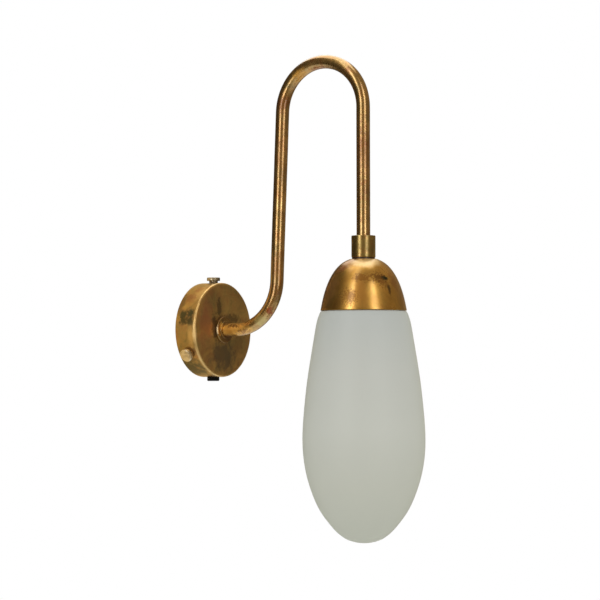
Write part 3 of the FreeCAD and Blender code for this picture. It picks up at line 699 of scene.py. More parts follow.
    # brass sheet spun to a cap, handled more than the rest: golden, satin, with scratched brown patches;
    # painted highlights lighten its shoulder and left side, and painted shade darkens a stripe between its
    # highlights
    CAP_BRASS = AgedBrass(
        "acid_browned_spun_brass_cap", gold="#D9A953", brown="#B3873E", dark="#7E5D2A", olive="#93864E",
        copper="#B06C3C", cloud=30.0, bright_from=0.43, roughness=(0.27, 0.34), pit_share=0.05, drift=0.25,
        wax_roughness=0.16,
        stains_and_painted_light=(
            # painted highlight: a pale wash over the shoulder under the sleeve
            StainOrPaintedLight((-12, -186, 57), (17, 17, 7), "#F4D9A2", 0.8, 0.2, 8),
            # painted shade: a darker upright stripe between the cap's two highlights
            StainOrPaintedLight((-29, -189.5, 26), (7, 8, 26), "#A47232", 0.75, 0.2, 8),
            # painted highlight: these two lighten the cap's left side
            StainOrPaintedLight((-31, -160, 34), (8, 12, 22), "#D09A62", 0.5, 0.4, 6),
            StainOrPaintedLight((-22, -143, 24), (11, 11, 30), "#C08E58", 0.45, 0.35, 7),
            StainOrPaintedLight((-25.4, -188.4, 42.6), (8, 9, 4.6), "#7A4E1C", 0.75, 0.85, 2.2),
            StainOrPaintedLight((-15, -199.3, 42.2), (9, 9, 6), "#6C4618", 0.85, 0.8, 2),
            StainOrPaintedLight((-12.5, -202.5, 36.5), (6.5, 6.5, 6), "#8A5C28", 0.6, 0.9, 1.8),
            StainOrPaintedLight((-9.5, -202.2, 42.2), (4.6, 4.6, 2.7), "#1E2410", 0.95, 0.4, 1.8),
            StainOrPaintedLight((-9.3, -206.2, 33.5), (2.4, 2.4, 12), "#4E3A1A", 0.85, 0.3, 2),
            StainOrPaintedLight((-34.2, -181.2, 26), (5.5, 9.5, 10), "#7C5020", 0.75, 0.8, 1.2),
            StainOrPaintedLight((-24, -166.6, 51), (6, 8, 4.4), "#96552C", 0.6, 0.6, 3),
            StainOrPaintedLight((0, -206, 42), (7, 8, 12), "#A06A34", 0.6, 0.5, 4),
        ),
    )
    # brass turned from bar, tarnished olive, with fine rings from the tool
    COLLAR_BRASS = AgedBrass(
        "olive_turned_brass_collar", gold="#B29A5C", brown="#8A723C", dark="#584822", cloud=9.0,
        bright_from=0.44, roughness=(0.26, 0.36), pit_share=0.3,
    )
    # pale turned brass with little tarnish on the faces and an olive top head, whose two ends and neck are
    # painted dark as shade, black-green at the right
    SCREW_BRASS = AgedBrass(
        "tarnished_turned_brass_screw", gold="#F6ECD4", brown="#EADAB8", dark="#B8A888", cloud=9.0,
        bright_from=0.46, roughness=(0.30, 0.40), pit_share=0.05, drift=0.1, wax=0.3,
        stains_and_painted_light=(
            # painted shade: darkens the left end of the top head
            StainOrPaintedLight((-3.6, -6, 46), (4.5, 4.5, 6), "#4E4430", 0.9, 0.4, 2),
            StainOrPaintedLight((0, -10.5, 47), (11, 11, 5), "#6A5C40", 0.85, 0.5, 2),
            # painted shade: darkens the right end of the top head, and the next mark paints a shadow on its
            # neck
            StainOrPaintedLight((3.6, -15.4, 46.5), (8, 8, 6), "#1E2616", 0.95, 0.3, 3),
            StainOrPaintedLight((0, -10.5, 43.2), (8, 8, 2.6), "#3A2A14", 0.9, 0.3, 2),
            StainOrPaintedLight((-41.6, -16.6, -23.6), (4.6, 3, 7), "#A89064", 0.75, 0.3, 3),
        ),
    )
    # brass fresh from the lathe: yellow, satin, with fine lines
    PLAIN_BRASS = CleanMetal("machined_brass", colour="#D1AE68", tint="#B48E4A")
    # brass strip dipped in tin: grey-white and soft
    TINNED_BRASS = CleanMetal("tinned_brass", colour="#C9C5B8", tint="#B0AC9E", line=0.8)
    # steel under a zinc coat: cool grey with a faint yellow cast
    ZINC_STEEL = CleanMetal(
        "zinc_plated_steel", colour="#C6C9CC", tint="#BDBEB2", cloud=18.0, roughness=(0.30, 0.42)
    )
    # cold-rolled steel strip: darker grey and shinier than the zinc
    SPRING_STEEL = CleanMetal("rolled_spring_steel", colour="#A9ABAE", tint="#8F9194", roughness=(0.2, 0.3))
    # steel blacked in hot oil: brown-black and nearly matt, so it is shaded as a skin
    BLACK_STEEL = Moulding(
        "blackened_steel", colour="#38200F", shade="#22140A", roughness=0.42, peel=0.3, peel_depth=0.004
    )
    # a drop of tin that set quickly: grey with a dull, uneven skin
    SOLDER = CleanMetal("tin_solder", colour="#B9BABE", tint="#9C9EA2", cloud=1.5, line_depth=0.02)
    # pressed rubber: black and matt, with a weak broad shine
    BLACK_RUBBER = Moulding(
        "moulded_black_rubber", colour="#070606", shade="#0B0A09", roughness=0.66, peel=0.4, ior=1.2
    )
    # cast silicone: milky and soft to the eye
    SILICONE = Moulding("moulded_silicone", colour="#D9D9D2", shade="#CBCBC4", roughness=0.5, ior=1.41)
    # injected plastic: warm white with a satin skin
    POLYAMIDE = Moulding("moulded_white_polyamide", colour="#E6E3DA", shade="#DAD6CB", roughness=0.42)
    # extruded wire sleeves: even colour with a low gloss
    BROWN_SLEEVE = Moulding("brown_wire_sleeve", colour="#5E3A20", shade="#4E2F1A", roughness=0.38)
    BLUE_SLEEVE = Moulding("blue_wire_sleeve", colour="#2A5C9C", shade="#244E86", roughness=0.38)
    GREEN_SLEEVE = Moulding("green_wire_sleeve", colour="#3E8A3A", shade="#B8B03A", cloud=3.0, roughness=0.38)
    # pressed thermoset: near black with a hard shine
    PHENOLIC = Moulding(
        "compression_moulded_phenolic", colour="#1E1B19", shade="#14110F", roughness=0.26, ior=1.6
    )
    # pressed and fired steatite without a glaze: chalky white
    CERAMIC = Moulding("unglazed_steatite", colour="#E9E6DC", shade="#DDD9CC", roughness=0.7, peel=0.3)
    # the studio's card: matt and white
    CARD = Moulding("matt_white_card", colour="#F2F2F0", shade="#ECECEA", cloud=40.0, roughness=0.8)
    # blown glass etched with acid: satin, grey-green and milky, a little paler at its middle because it is
    # painted darker under the cap and at its foot as shade
    FROSTED_GLASS = BlownGlass("acid_etched_blown_glass")
    # thin bulb glass coated white inside: smoother and whiter than the shade
    OPAL_GLASS = BlownGlass(
        "white_coated_bulb_glass", colours=("#ECEBE4", "#ECEBE4"), edge="#DDDCD2", roughness=0.35, clear=0.15
    )

    @property
    def finish(self) -> Finish:
        """The finish itself."""
        return self.value


# Outlines of turned pieces

@dataclass(frozen=True)
class Corner:
    """A corner of a turned piece's outline, in millimetres, with the radius that eases it."""

    radius: float
    station: float
    ease: float = 0.0


def eased(corners: Sequence[Corner], pitch: float, arc_steps: int = 6) -> list[Point]:
    """Rounds a closed outline's corners and divides its long runs.

    Args:
        corners: The corners in order. The last one joins the first.
        pitch: Longest step along a run, in millimetres.
        arc_steps: Steps in each rounded corner.

    Returns:
        The outline's points. The last one repeats the first.
    """
    bends: list[list[np.ndarray]] = []
    for place, corner in enumerate(corners):
        here = np.array((corner.radius, corner.station))
        if not corner.ease:
            bends.append([here])
            continue
        before, after = corners[place - 1], corners[(place + 1) % len(corners)]
        back = np.array((before.radius, before.station)) - here
        ahead = np.array((after.radius, after.station)) - here
        back, ahead = back / np.linalg.norm(back), ahead / np.linalg.norm(ahead)
        half = math.acos(float(np.clip(back @ ahead, -1, 1))) / 2
        inward = (back + ahead) / np.linalg.norm(back + ahead)
        centre = here + inward * corner.ease / math.sin(half)
        start, end = (here + way * corner.ease / math.tan(half) - centre for way in (back, ahead))
        sweep = math.pi - 2 * half
        arc = []
        for step in range(arc_steps + 1):
            share = step / arc_steps
            mixed = start * math.sin((1 - share) * sweep) + end * math.sin(share * sweep)
            arc.append(centre + mixed / math.sin(sweep))
        bends.append(arc)
    points: list[Point] = []
    for bend, following in zip(bends, bends[1:] + bends[:1]):
        points += [tuple(p) for p in bend]
        gap = following[0] - bend[-1]
        count = math.ceil(np.linalg.norm(gap) / pitch)
        points += [tuple(bend[-1] + gap * step / count) for step in range(1, count)]
    return points + points[:1]


def smooth_through(points: Sequence[Point], count: int) -> np.ndarray:
    """Runs a smooth cubic curve through points, straight at both ends.

    Args:
        points: The points that the curve passes through.
        count: How many steps the curve is cut into.

    Returns:
        Points along the curve, one row each.
    """
    places = np.array(points, float)
    along = np.concatenate(([0.0], np.cumsum(np.linalg.norm(np.diff(places, axis=0), axis=1))))
    gaps = np.diff(along)
    last = len(places) - 1
    system = np.eye(last + 1)
    target = np.zeros_like(places)
    for row in range(1, last):
        system[row, row - 1:row + 2] = gaps[row - 1], 2 * (gaps[row - 1] + gaps[row]), gaps[row]
        slopes = np.diff(places[row - 1:row + 2], axis=0) / gaps[row - 1:row + 1, None]
        target[row] = 6 * (slopes[1] - slopes[0])
    curl = np.linalg.solve(system, target)
    curve = []
    for stop in np.linspace(0, along[-1], count + 1):
        row = min(int(np.searchsorted(along, stop, side="right")) - 1, last - 1)
        gap, done = gaps[row], stop - along[row]
        left = gap - done
        bent = curl[row] * (left ** 3 / gap - left * gap) + curl[row + 1] * (done ** 3 / gap - done * gap)
        curve.append((places[row] * left + places[row + 1] * done) / gap + bent / 6)
    return np.array(curve)


def moved_in(curve: np.ndarray, wall: float) -> np.ndarray:
    """Moves a rising outline square to itself towards the axis.

    Args:
        curve: Points of the outline, from low to high.
        wall: How far they move, in millimetres.

    Returns:
        The moved points.
    """
    run = np.gradient(curve, axis=0)
    run /= np.linalg.norm(run, axis=1)[:, None]
    return curve + np.stack((-run[:, 1], run[:, 0]), axis=1) * wall


def stepped(radius: float, station: float, steps: Sequence[Point]) -> list[Point]:
    """Returns the points that lie the given steps away from one point."""
    return [(radius + across, station + along) for across, along in steps]


# Making pieces by hand tools

def select_only(piece: Piece | None = None) -> None:
    """Leaves object mode with one piece selected and active, or with nothing selected.

    Args:
        piece: The piece to select, if any.
    """
    if bpy.context.mode != "OBJECT":
        bpy.ops.object.mode_set(mode="OBJECT")
    bpy.ops.object.select_all(action="DESELECT")
    if piece is not None:
        piece.select_set(True)
        bpy.context.view_layer.objects.active = piece


def settle(piece: Piece, name: str, smooth_degrees: float = 32.0) -> Piece:
    """Puts a piece's place into its mesh, names it and smooths its shading.

    Args:
        piece: The piece, which is active and in object mode.
        name: The piece's name.
        smooth_degrees: Edges that turn by less than this look smooth.

    Returns:
        The same piece.
    """
    bpy.ops.object.transform_apply(location=True, rotation=True, scale=True)
    bpy.ops.object.shade_smooth_by_angle(angle=math.radians(smooth_degrees))
    piece.name = piece.data.name = name
    return piece


def use_modifier(piece: Piece, kind: str, **settings: Any) -> None:
    """Adds a modifier to a piece and applies it.

    Args:
        piece: The piece to change.
        kind: The modifier's type name.
        settings: The modifier's own properties.
    """
    select_only(piece)
    bpy.ops.object.modifier_add(type=kind)
    modifier = piece.modifiers[-1]
    for key, value in settings.items():
        setattr(modifier, key, value)
    bpy.ops.object.modifier_apply(modifier=modifier.name)


@dataclass(frozen=True)
class Waves:
    """The slight waviness of spun, turned, bent or blown work.

    Attributes:
        depth: Height from dip to crest, in millimetres.
        grain: Size of the waves, in millimetres.
    """

    depth: float
    grain: float

    def work(self, piece: Piece, zone: str = "") -> None:
        """Gives a piece the waves.

        Args:
            piece: The piece to change.
            zone: Vertex group that the waves keep to, if any.
        """
        waves = bpy.data.textures.new(piece.name + "_waves", "CLOUDS")
        waves.noise_scale = self.grain * MM
        waves.noise_depth = 1
        use_modifier(
            piece, "DISPLACE", texture=waves, texture_coords="LOCAL", strength=self.depth * MM,
            vertex_group=zone,
        )


def turned(
    name: str, outline: Sequence[Point], base: Vector, axis: Vector, steps: int, smooth_degrees: float = 32.0
) -> Piece:
    """Turns an outline about an axis, as on a lathe.

    Args:
        name: The piece's name.
        outline: Radius and station of each point, in millimetres.
        base: Where station zero lies on the axis, in millimetres.
        axis: Direction of the axis.
        steps: Steps around the axis.
        smooth_degrees: Edges that turn by less than this look smooth.

    Returns:
        The turned piece.
    """
    side = Vector((1, 0, 0)) if abs(axis.y) > 0.5 else Vector((0, 1, 0))
    places = [(base + side * radius + axis * station) * MM for radius, station in outline]
    select_only()
    bpy.ops.mesh.primitive_plane_add(size=MM, location=places[0])
    piece = bpy.context.active_object
    bpy.ops.object.mode_set(mode="EDIT")
    bpy.ops.mesh.merge(type="CENTER")
    for last, place in zip(places, places[1:]):
        bpy.ops.mesh.extrude_vertices_move(TRANSFORM_OT_translate={"value": place - last})
    bpy.ops.mesh.select_all(action="SELECT")
    bpy.ops.mesh.spin(steps=steps, angle=math.tau, center=base * MM, axis=axis)
    bpy.ops.mesh.select_all(action="SELECT")
    bpy.ops.mesh.remove_doubles(threshold=0.001 * MM)
    bpy.ops.mesh.normals_make_consistent(inside=False)
    bpy.ops.object.mode_set(mode="OBJECT")
    return settle(piece, name, smooth_degrees)


def bored(piece: Piece, radius: float, start: Vector, axis: Vector, length: float) -> None:
    """Drills a round hole through a piece.

    Args:
        piece: The piece to drill.
        radius: Radius of the hole, in millimetres.
        start: Where the drill's tip starts, in millimetres.
        axis: Direction of the drill.
        length: How far it goes, in millimetres.
    """
    select_only()
    bpy.ops.mesh.primitive_cylinder_add(
        vertices=48, radius=radius * MM, depth=length * MM, location=(start + axis * length / 2) * MM,
        rotation=UP.rotation_difference(axis).to_euler(),
    )
    drill = bpy.context.active_object
    use_modifier(piece, "BOOLEAN", operation="DIFFERENCE", object=drill, solver="EXACT")
    bpy.data.objects.remove(drill)


# The lamp's sub-assemblies, with sizes in millimetres

@dataclass
class SubAssembly:
    """A group of pieces that is built and dressed together."""

    def keep(self, coat: Coat, *nodes: str) -> None:
        """Gives frame nodes their finish and leaves their shape.

        Args:
            coat: The finish.
            nodes: Names of the nodes.
        """
        for node in nodes:
            coat.finish.dress(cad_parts[node])
            log.info("%s keeps its shape, in %s", node, coat.finish.name)

    def place(self, piece: Piece, coat: Coat, body: str, slot: str, *nodes: str) -> None:
        """Dresses a new piece, ties it to its body and lets it stand for frame nodes.

        Args:
            piece: The new piece.
            coat: Its finish.
            body: The body that it moves with.
            slot: The record's material slot; not used.
            nodes: The nodes that it replaces.
        """
        coat.finish.dress(piece)
        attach(piece, body)
        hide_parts(*nodes)
        log.info("%s: %d faces, in %s", piece.name, len(piece.data.polygons), coat.finish.name)

    def build(self) -> None:
        """Builds and dresses every piece of the group."""
        raise NotImplementedError


@dataclass
class Canopy(SubAssembly):
    """The spun cup on the wall, with what it hides and the screws in its side."""

    radius: float = 43.0
    depth: float = 22.0
    wall: float = 1.0
    edge: float = 1.8
    inner_edge: float = 0.8
    rim_edge: float = 0.2
    waves: Waves = Waves(0.10, 17.0)
    arm_bore: float = 5.0
    drill_start: float = 37.8
    drill_length: float = 8.6
    screw_setback: float = 10.5
    screw_hole: float = 2.25
    bush_setback: float = 10.3
    bush_hole: float = 4.2
    head_radius: float = 6.0
    head_thick: float = 3.0
    head_edge: float = 0.5
    head_under_edge: float = 0.25
    neck_radius: float = 4.0
    neck_length: float = 1.9
    neck_edge: float = 0.15
    seat_gap: float = 0.1
    shank_radius: float = 1.95
    shank_length: float = 9.0
    thread_gap: float = 0.6
    thread_pitch: float = 0.7
    thread_depth: float = 0.35

    def cup(self) -> Piece:
        """Spins the cup and drills its side.

        Returns:
            The cup.
        """
        inner = self.radius - self.wall
        front = self.depth - self.wall
        outline = eased(
            (
                Corner(self.arm_bore, self.depth),
                Corner(self.radius, self.depth, self.edge),
                Corner(self.radius, 0.0, self.rim_edge),
                Corner(inner, 0.0, self.rim_edge),
                Corner(inner, front, self.inner_edge),
                Corner(self.arm_bore, front),
            ),
            pitch=2.2,
        )
        piece = turned("canopy_cup", outline, ORIGIN, OUT, steps=192)
        self.waves.work(piece)
        for degrees in (90, 210, 330):
            way = Vector((math.cos(math.radians(degrees)), 0, math.sin(math.radians(degrees))))
            start = OUT * self.screw_setback + way * self.drill_start
            bored(piece, self.screw_hole, start, way, self.drill_length)
        start = OUT * self.bush_setback + DOWN * self.drill_start
        bored(piece, self.bush_hole, start, DOWN, self.drill_length)
        select_only(piece)
        return settle(piece, "canopy_cup")

    def side_screw(self) -> Piece:
        """Turns the finger screw at the top, with its rolled thread.

        Returns:
            The screw.
        """
        foot = self.radius + self.seat_gap
        under = foot + self.neck_length
        top = under + self.head_thick
        corners = [
            Corner(0.0, top),
            Corner(self.head_radius, top, self.head_edge),
            Corner(self.head_radius, under, self.head_under_edge),
            Corner(self.neck_radius, under),
            Corner(self.neck_radius, foot, self.neck_edge),
            Corner(self.shank_radius, foot),
        ]
        station = foot - self.thread_gap
        tip = foot - self.shank_length
        root = self.shank_radius - self.thread_depth
        while station > tip + self.thread_pitch:
            corners.append(Corner(self.shank_radius, station))
            corners.append(Corner(root, station - self.thread_pitch / 2))
            station -= self.thread_pitch
        corners += [Corner(root, tip), Corner(0.0, tip)]
        outline = eased(corners, pitch=2.0, arc_steps=4)[:-1]
        return turned("side_screw_top", outline, OUT * self.screw_setback, UP, steps=64)

    def carried_round(self, screw: Piece, name: str, degrees: float) -> Piece:
        """Copies the top screw, with its own mesh, to another place round the cup.

        Args:
            screw: The top screw.
            name: The copy's name.
            degrees: How far it goes round, clockwise as seen from the room.

        Returns:
            The copy.
        """
        select_only(screw)
        bpy.ops.object.duplicate(linked=False)
        copied = bpy.context.active_object
        bpy.ops.object.mode_set(mode="EDIT")
        bpy.ops.mesh.select_all(action="SELECT")
        bpy.ops.transform.rotate(
            value=math.radians(degrees), orient_axis="Y", center_override=OUT * self.screw_setback * MM
        )
        bpy.ops.object.mode_set(mode="OBJECT")
        copied.name = copied.data.name = name
        return copied

    def build(self) -> None:
        """Builds the canopy and dresses what lies behind it."""
        self.place(self.cup(), Coat.CANOPY_BRASS, "root", "aged_brass_canopy", "canopy")
        screw = self.side_screw()
        left = self.carried_round(screw, "side_screw_left", 120.0)
        right = self.carried_round(screw, "side_screw_right", -120.0)
        for side, piece in (("top", screw), ("left", left), ("right", right)):
            self.place(piece, Coat.SCREW_BRASS, side + "_screw", "pale_brass", "canopy_screw_" + side)
        self.keep(Coat.BLACK_RUBBER, "cable_grommet")
        self.keep(Coat.ZINC_STEEL, "wall_bracket", "terminal_screws", "block_fixing_screws")
        self.keep(Coat.POLYAMIDE, "terminal_block")


@dataclass
class Arm(SubAssembly):
    """The swan-neck tube with the rosette at its root and the wires inside."""

    tube_radius: float = 6.0
    tube_wall: float = 1.0
    tube_waves: Waves = Waves(0.10, 21.0)
    around: int = 56
    root_start: float = 25.3
    foot_reach: float = 80.1
    lean_degrees: float = 2.38
    lower_radius: float = 45.3
    top_radius: float = 43.0
    top_height: float = 235.7
    end_height: float = 70.1
    # Rings along the root run, the lower bend, the leg, the top bend and the drop
    rings: tuple[int, ...] = (14, 36, 40, 64, 36)
    lump_reach: float = 34.0
    lumps: Waves = Waves(0.8, 5.0)
    canopy_depth: float = 22.0
    rosette_radius: float = 12.2
    rosette_thick: float = 2.5
    rosette_edge: float = 0.9
    hub_radius: float = 7.9
    hub_edge: float = 0.3
    rosette_lumps: Waves = Waves(0.3, 3.2)

    def push(self, run: Vector, steps: int) -> None:
        """Extrudes the open end of the tube along a straight run.

        Args:
            run: The whole run, in millimetres.
            steps: How many rings it is cut into.
        """
        for _ in range(steps):
            bpy.ops.mesh.extrude_region_move(TRANSFORM_OT_translate={"value": run * MM / steps})

    def bend(self, centre: Vector, degrees: float, steps: int) -> None:
        """Swings the open end of the tube about a level axis.

        Args:
            centre: Centre of the bend, in millimetres.
            degrees: How far it turns. Positive lifts an end that points along -Y.
            steps: How many rings it is cut into.
        """
        bpy.ops.mesh.spin(steps=steps, angle=math.radians(degrees), center=centre * MM, axis=(1, 0, 0))

    def tube(self) -> Piece:
        """Bends the tube out of the canopy, up, over and down to the collar.

        Returns:
            The tube.
        """
        lean = math.radians(self.lean_degrees)
        rise = Vector((0, -math.sin(lean), math.cos(lean)))
        foot = OUT * self.foot_reach
        reach = self.lower_radius * math.tan((math.pi / 2 - lean) / 2)
        lower_centre = foot - OUT * reach + UP * self.lower_radius
        top_centre_height = self.top_height - self.top_radius
        leg = (top_centre_height + self.top_radius * math.sin(lean)) / math.cos(lean)
        leg_top = foot + rise * leg
        top_centre = leg_top - Vector((0, math.cos(lean), math.sin(lean))) * self.top_radius
        select_only()
        bpy.ops.mesh.primitive_circle_add(
            vertices=self.around, radius=self.tube_radius * MM, location=OUT * self.root_start * MM,
            rotation=(math.pi / 2, 0, 0),
        )
        piece = bpy.context.active_object
        bpy.ops.object.mode_set(mode="EDIT")
        bpy.ops.mesh.select_all(action="SELECT")
        root_rings, lower_rings, leg_rings, top_rings, drop_rings = self.rings
        self.push(foot - OUT * reach - OUT * self.root_start, root_rings)
        self.bend(lower_centre, 90 - self.lean_degrees, lower_rings)
        self.push(leg_top - foot - rise * reach, leg_rings)
        self.bend(top_centre, self.lean_degrees - 180, top_rings)
        self.push(DOWN * (top_centre.z - self.end_height), drop_rings)
        bpy.ops.mesh.select_all(action="SELECT")
        bpy.ops.mesh.normals_make_consistent(inside=False)
        bpy.ops.object.mode_set(mode="OBJECT")
        settle(piece, "swan_neck_tube", 40.0)
        self.tube_waves.work(piece)
        lumpy = piece.vertex_groups.new(name="root_zone")
        for vertex in piece.data.vertices:
            beyond = (-vertex.co.y / MM - self.root_start) / self.lump_reach
            lumpy.add([vertex.index], max(0.0, min(1.0, 2 - 2 * beyond)), "REPLACE")
        self.lumps.work(piece, "root_zone")
        use_modifier(piece, "SOLIDIFY", thickness=self.tube_wall * MM, offset=-1.0)
        return piece

    def rosette(self) -> Piece:
        """Turns the stepped washer between the canopy and the tube.

        Returns:
            The rosette.
        """
        face = self.canopy_depth + self.rosette_thick
        bore = self.tube_radius - self.tube_wall
        outline = eased(
            (
                Corner(bore, self.canopy_depth),
                Corner(self.rosette_radius, self.canopy_depth, 0.15),
                Corner(self.rosette_radius, face, self.rosette_edge),
                Corner(self.hub_radius, face, 0.2),
                Corner(self.hub_radius, self.root_start, self.hub_edge),
                Corner(bore, self.root_start),
            ),
            pitch=1.5,
        )
        piece = turned("root_rosette", outline, ORIGIN, OUT, steps=96)
        self.rosette_lumps.work(piece)
        return piece

    def build(self) -> None:
        """Builds the arm and dresses the fittings and wires inside it."""
        self.place(self.tube(), Coat.ARM_BRASS, "root", "aged_brass_arm", "arm_tube")
        self.place(self.rosette(), Coat.ROSETTE_BRASS, "root", "aged_brass_arm", "root_flange")
        self.keep(Coat.ZINC_STEEL, "root_nipple", "root_lock_washer")
        self.keep(Coat.PLAIN_BRASS, "root_locknut")
        self.keep(Coat.TINNED_BRASS, "earth_tag")
        self.keep(Coat.BROWN_SLEEVE, "wire_live")
        self.keep(Coat.BLUE_SLEEVE, "wire_neutral")
        self.keep(Coat.GREEN_SLEEVE, "wire_earth")


@dataclass
class Head(SubAssembly):
    """The collar at the end of the arm, the spun cap and the plate with its clips."""

    collar_top: float = 80.1
    collar_length: float = 19.2
    collar_radius: float = 10.5
    collar_bore: float = 5.0
    collar_chamfer: float = 0.6
    collar_edge: float = 0.5
    collar_waves: Waves = Waves(0.04, 6.0)
    socket_radius: float = 6.05
    socket_depth: float = 10.0
    washer_thick: float = 1.1
    cap_full_radius: float = 40.5
    cap_full_height: float = 97.3
    cap_power: float = 2.65
    cap_flat_radius: float = 11.5
    cap_height: float = 45.0
    cap_wall: float = 1.0
    cap_seat_radius: float = 8.0
    cap_waves: Waves = Waves(0.12, 15.0)
    outer_steps: int = 44
    inner_steps: int = 30
    lip_steps: int = 6

    def collar(self) -> Piece:
        """Turns the sleeve that joins the tube to the cap.

        Returns:
            The sleeve.
        """
        foot = self.collar_top - self.collar_length
        shoulder = self.collar_top - self.socket_depth
        outline = eased(
            (
                Corner(self.collar_bore, foot),
                Corner(self.collar_radius - self.collar_chamfer, foot, 0.1),
                Corner(self.collar_radius, foot + self.collar_chamfer, 0.2),
                Corner(self.collar_radius, self.collar_top, self.collar_edge),
                Corner(self.socket_radius, self.collar_top, 0.2),
                Corner(self.socket_radius, shoulder),
                Corner(self.collar_bore, shoulder),
            ),
            pitch=1.6,
        )
        piece = turned("head_sleeve", outline, SHADE_AXIS, UP, steps=96)
        self.collar_waves.work(piece)
        return piece

    def dome(self, radius: float, height: float, low: float, high: float, steps: int) -> list[Point]:
        """Draws the cap's rounded outline between two heights.

        Args:
            radius: Radius of the whole figure.
            height: Height of the whole figure.
            low: Lowest level above the figure's base.
            high: Highest level above the figure's base.
            steps: Steps along the outline.

        Returns:
            Radius and level of each point, from high to low.
        """
        power = 2 / self.cap_power
        start, end = (math.asin((level / height) ** (1 / power)) for level in (high, low))
        angles = [start + (end - start) * step / steps for step in range(steps + 1)]
        return [(radius * math.cos(a) ** power, height * math.sin(a) ** power) for a in angles]

    def cap(self) -> Piece:
        """Spins the cap, with a rounded lip at its rim.

        Returns:
            The cap.
        """
        flat_share = self.cap_flat_radius / self.cap_full_radius
        crown = self.cap_full_height * (1 - flat_share ** self.cap_power) ** (1 / self.cap_power)
        base = self.collar_top - self.collar_length - self.washer_thick - crown
        rim = crown - self.cap_height
        ceiling = crown - self.cap_wall
        lip = self.cap_wall / 2
        outer = self.dome(self.cap_full_radius, self.cap_full_height, rim + lip, crown, self.outer_steps)
        inner = self.dome(
            self.cap_full_radius - self.cap_wall, self.cap_full_height - self.cap_wall, rim + lip, ceiling,
            self.inner_steps,
        )
        middle = (outer[-1][0] + inner[-1][0]) / 2
        roll = [math.pi * step / self.lip_steps for step in range(1, self.lip_steps)]
        lips = [(middle + lip * math.cos(turn), rim + lip - lip * math.sin(turn)) for turn in roll]
        outline = [(self.collar_bore, crown), (self.cap_seat_radius, crown), *outer, *lips, *inner[::-1]]
        outline += [(self.collar_bore, ceiling), (self.collar_bore, crown)]
        piece = turned("spun_cap", outline, SHADE_AXIS + UP * base, UP, steps=160, smooth_degrees=40.0)
        self.cap_waves.work(piece)
        return piece

    def build(self) -> None:
        """Builds the head and dresses the fittings under the cap."""
        self.place(self.collar(), Coat.COLLAR_BRASS, "root", "dark_brass", "head_collar")
        self.place(self.cap(), Coat.CAP_BRASS, "root", "aged_brass_cap", "cap")
        self.keep(Coat.BLACK_STEEL, "collar_washer")
        self.keep(Coat.ZINC_STEEL, "head_nipple", "gallery_plate")
        self.keep(Coat.PLAIN_BRASS, "cap_locknut", "gallery_locknut")
        self.keep(Coat.SILICONE, "neck_gasket")
        self.keep(Coat.SPRING_STEEL, "shade_springs")


